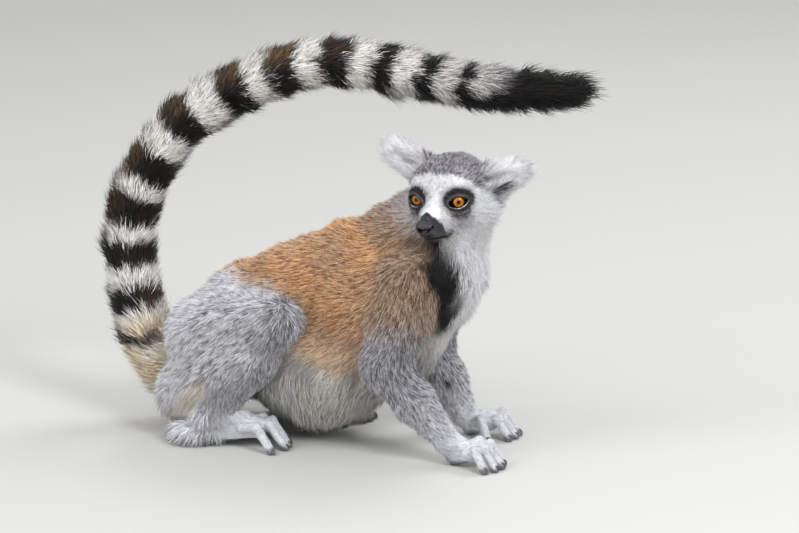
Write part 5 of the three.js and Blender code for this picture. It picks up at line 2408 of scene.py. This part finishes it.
# ---------------------------------------------------------------- studio
@dataclass(frozen=True)
class Studio:
    """A pale floor, soft light and the camera."""

    target: tuple[float, float, float] = (58.659, 0.3, 163.326)  # millimetres
    azimuth: float = 20.0
    elevation: float = 13.0
    distance: float = 4.0
    lens: float = 200.0
    floor_size: float = 30.0

    def build(self) -> None:
        """Sets the floor, the lights, the surroundings and the camera."""
        self._floor()
        self._lights()
        self._camera()

    def _floor(self) -> None:
        """A plain pale floor."""
        half = self.floor_size / 2.0
        mesh = bpy.data.meshes.new("studio_floor")
        mesh.from_pydata([(-half, -half, 0), (half, -half, 0), (half, half, 0), (-half, half, 0)], [],
                         [(0, 1, 2, 3)])
        floor = link_object("studio_floor", mesh)
        material, wiring, shader = new_material("studio_floor")
        noise = wiring.add("ShaderNodeTexNoise", {"Scale": 6.0}).outputs["Fac"]
        pale = wiring.tones(noise, ((0.0, colour(188, 187, 184)), (1.0, colour(196, 195, 192))))
        wiring.feed(shader, {"Base Color": pale, "Roughness": 0.8})
        floor.data.materials.append(material)

    def _lights(self) -> None:
        """A key light high on the right, a softer one on the left, one low in front and one behind."""
        middle = mm(*self.target)
        for name, turn, rise, reach, size, power in (
            ("key", 50.0, 36.0, 2.4, 0.9, 38.0),
            ("left", -44.0, 40.0, 2.8, 1.2, 23.0),
            ("front", -20.0, 6.0, 3.4, 2.2, 32.0),
            ("back", 165.0, 50.0, 2.6, 1.4, 28.0),
        ):
            lamp = bpy.data.lights.new(f"studio_{name}", "AREA")
            lamp.shape = "DISK"
            lamp.size = size
            lamp.energy = power
            holder = bpy.data.objects.new(f"studio_{name}", lamp)
            bpy.context.scene.collection.objects.link(holder)
            aim_object(holder, middle, turn, rise, reach)
        world = bpy.data.worlds.new("studio_surroundings")
        bpy.context.scene.world = world
        world.use_nodes = True
        background = world.node_tree.nodes["Background"]
        background.inputs["Color"].default_value = (0.96, 0.98, 1.0, 1.0)
        background.inputs["Strength"].default_value = 0.74

    def _camera(self) -> None:
        """The camera, looking down a little on the animal's right side."""
        lens = bpy.data.cameras.new("camera")
        lens.lens = self.lens
        lens.sensor_width = 36.0
        lens.clip_end = 100.0
        camera = bpy.data.objects.new("camera", lens)
        bpy.context.scene.collection.objects.link(camera)
        aim_object(camera, mm(*self.target), self.azimuth, self.elevation, self.distance)
        bpy.context.scene.camera = camera
        bpy.context.scene.view_settings.view_transform = "Standard"


def aim_object(
    item: bpy.types.Object, target: Array, azimuth: float, elevation: float, reach: float
) -> None:
    """Places an object round a point and turns it to look at it.

    Args:
        item: The object, which looks along its own -Z.
        target: The point.
        azimuth: Degrees round to the right from straight in front of the animal's right side.
        elevation: Degrees above the level.
        reach: The distance from the point, in metres.
    """
    turn, rise = math.radians(azimuth), math.radians(elevation)
    back = np.array((math.sin(turn) * math.cos(rise), -math.cos(turn) * math.cos(rise), math.sin(rise)))
    right = unit(np.cross(-back, UP))
    up = np.cross(right, -back)
    matrix = np.eye(4)
    matrix[:3, 0], matrix[:3, 1], matrix[:3, 2] = right, up, back
    matrix[:3, 3] = target + back * reach
    item.matrix_world = Matrix(matrix.tolist())


# ---------------------------------------------------------------- the whole
def main() -> None:
    """Builds the animal and its studio and reports each piece."""
    logging.basicConfig(level=logging.INFO, format="%(name)s: %(message)s")
    anatomy = Anatomy()
    markings = Markings(anatomy)
    Studio().build()
    skin = Skin(anatomy, markings)
    skin_object = skin.build()
    skin_object.data.materials.append(SkinFinish().material())
    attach(skin_object, "root")
    flesh = [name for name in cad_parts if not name.startswith("eye_")]
    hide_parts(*flesh)
    eye_material = EyeFinish().material()
    for name, place in zip(("right", "left"), anatomy.eyes):
        eyeball = Eye(f"eyeball_{name}", place, anatomy, eye_material).build()
        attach(eyeball, "root")
        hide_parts(f"eye_{name}")
        LOG.info("%s: %d faces", eyeball.name, len(eyeball.data.polygons))
    nails = Nails(anatomy, NailFinish().material()).build()
    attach(nails, "root")
    LOG.info("nails: %d faces", len(nails.data.polygons))
    fur = FurFinish().material()
    coat = Coat(anatomy, markings, skin, fur).build()
    for piece in [*coat, Whiskers(anatomy, fur).build()]:
        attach(piece, "root")


if __name__ == "__main__":
    main()
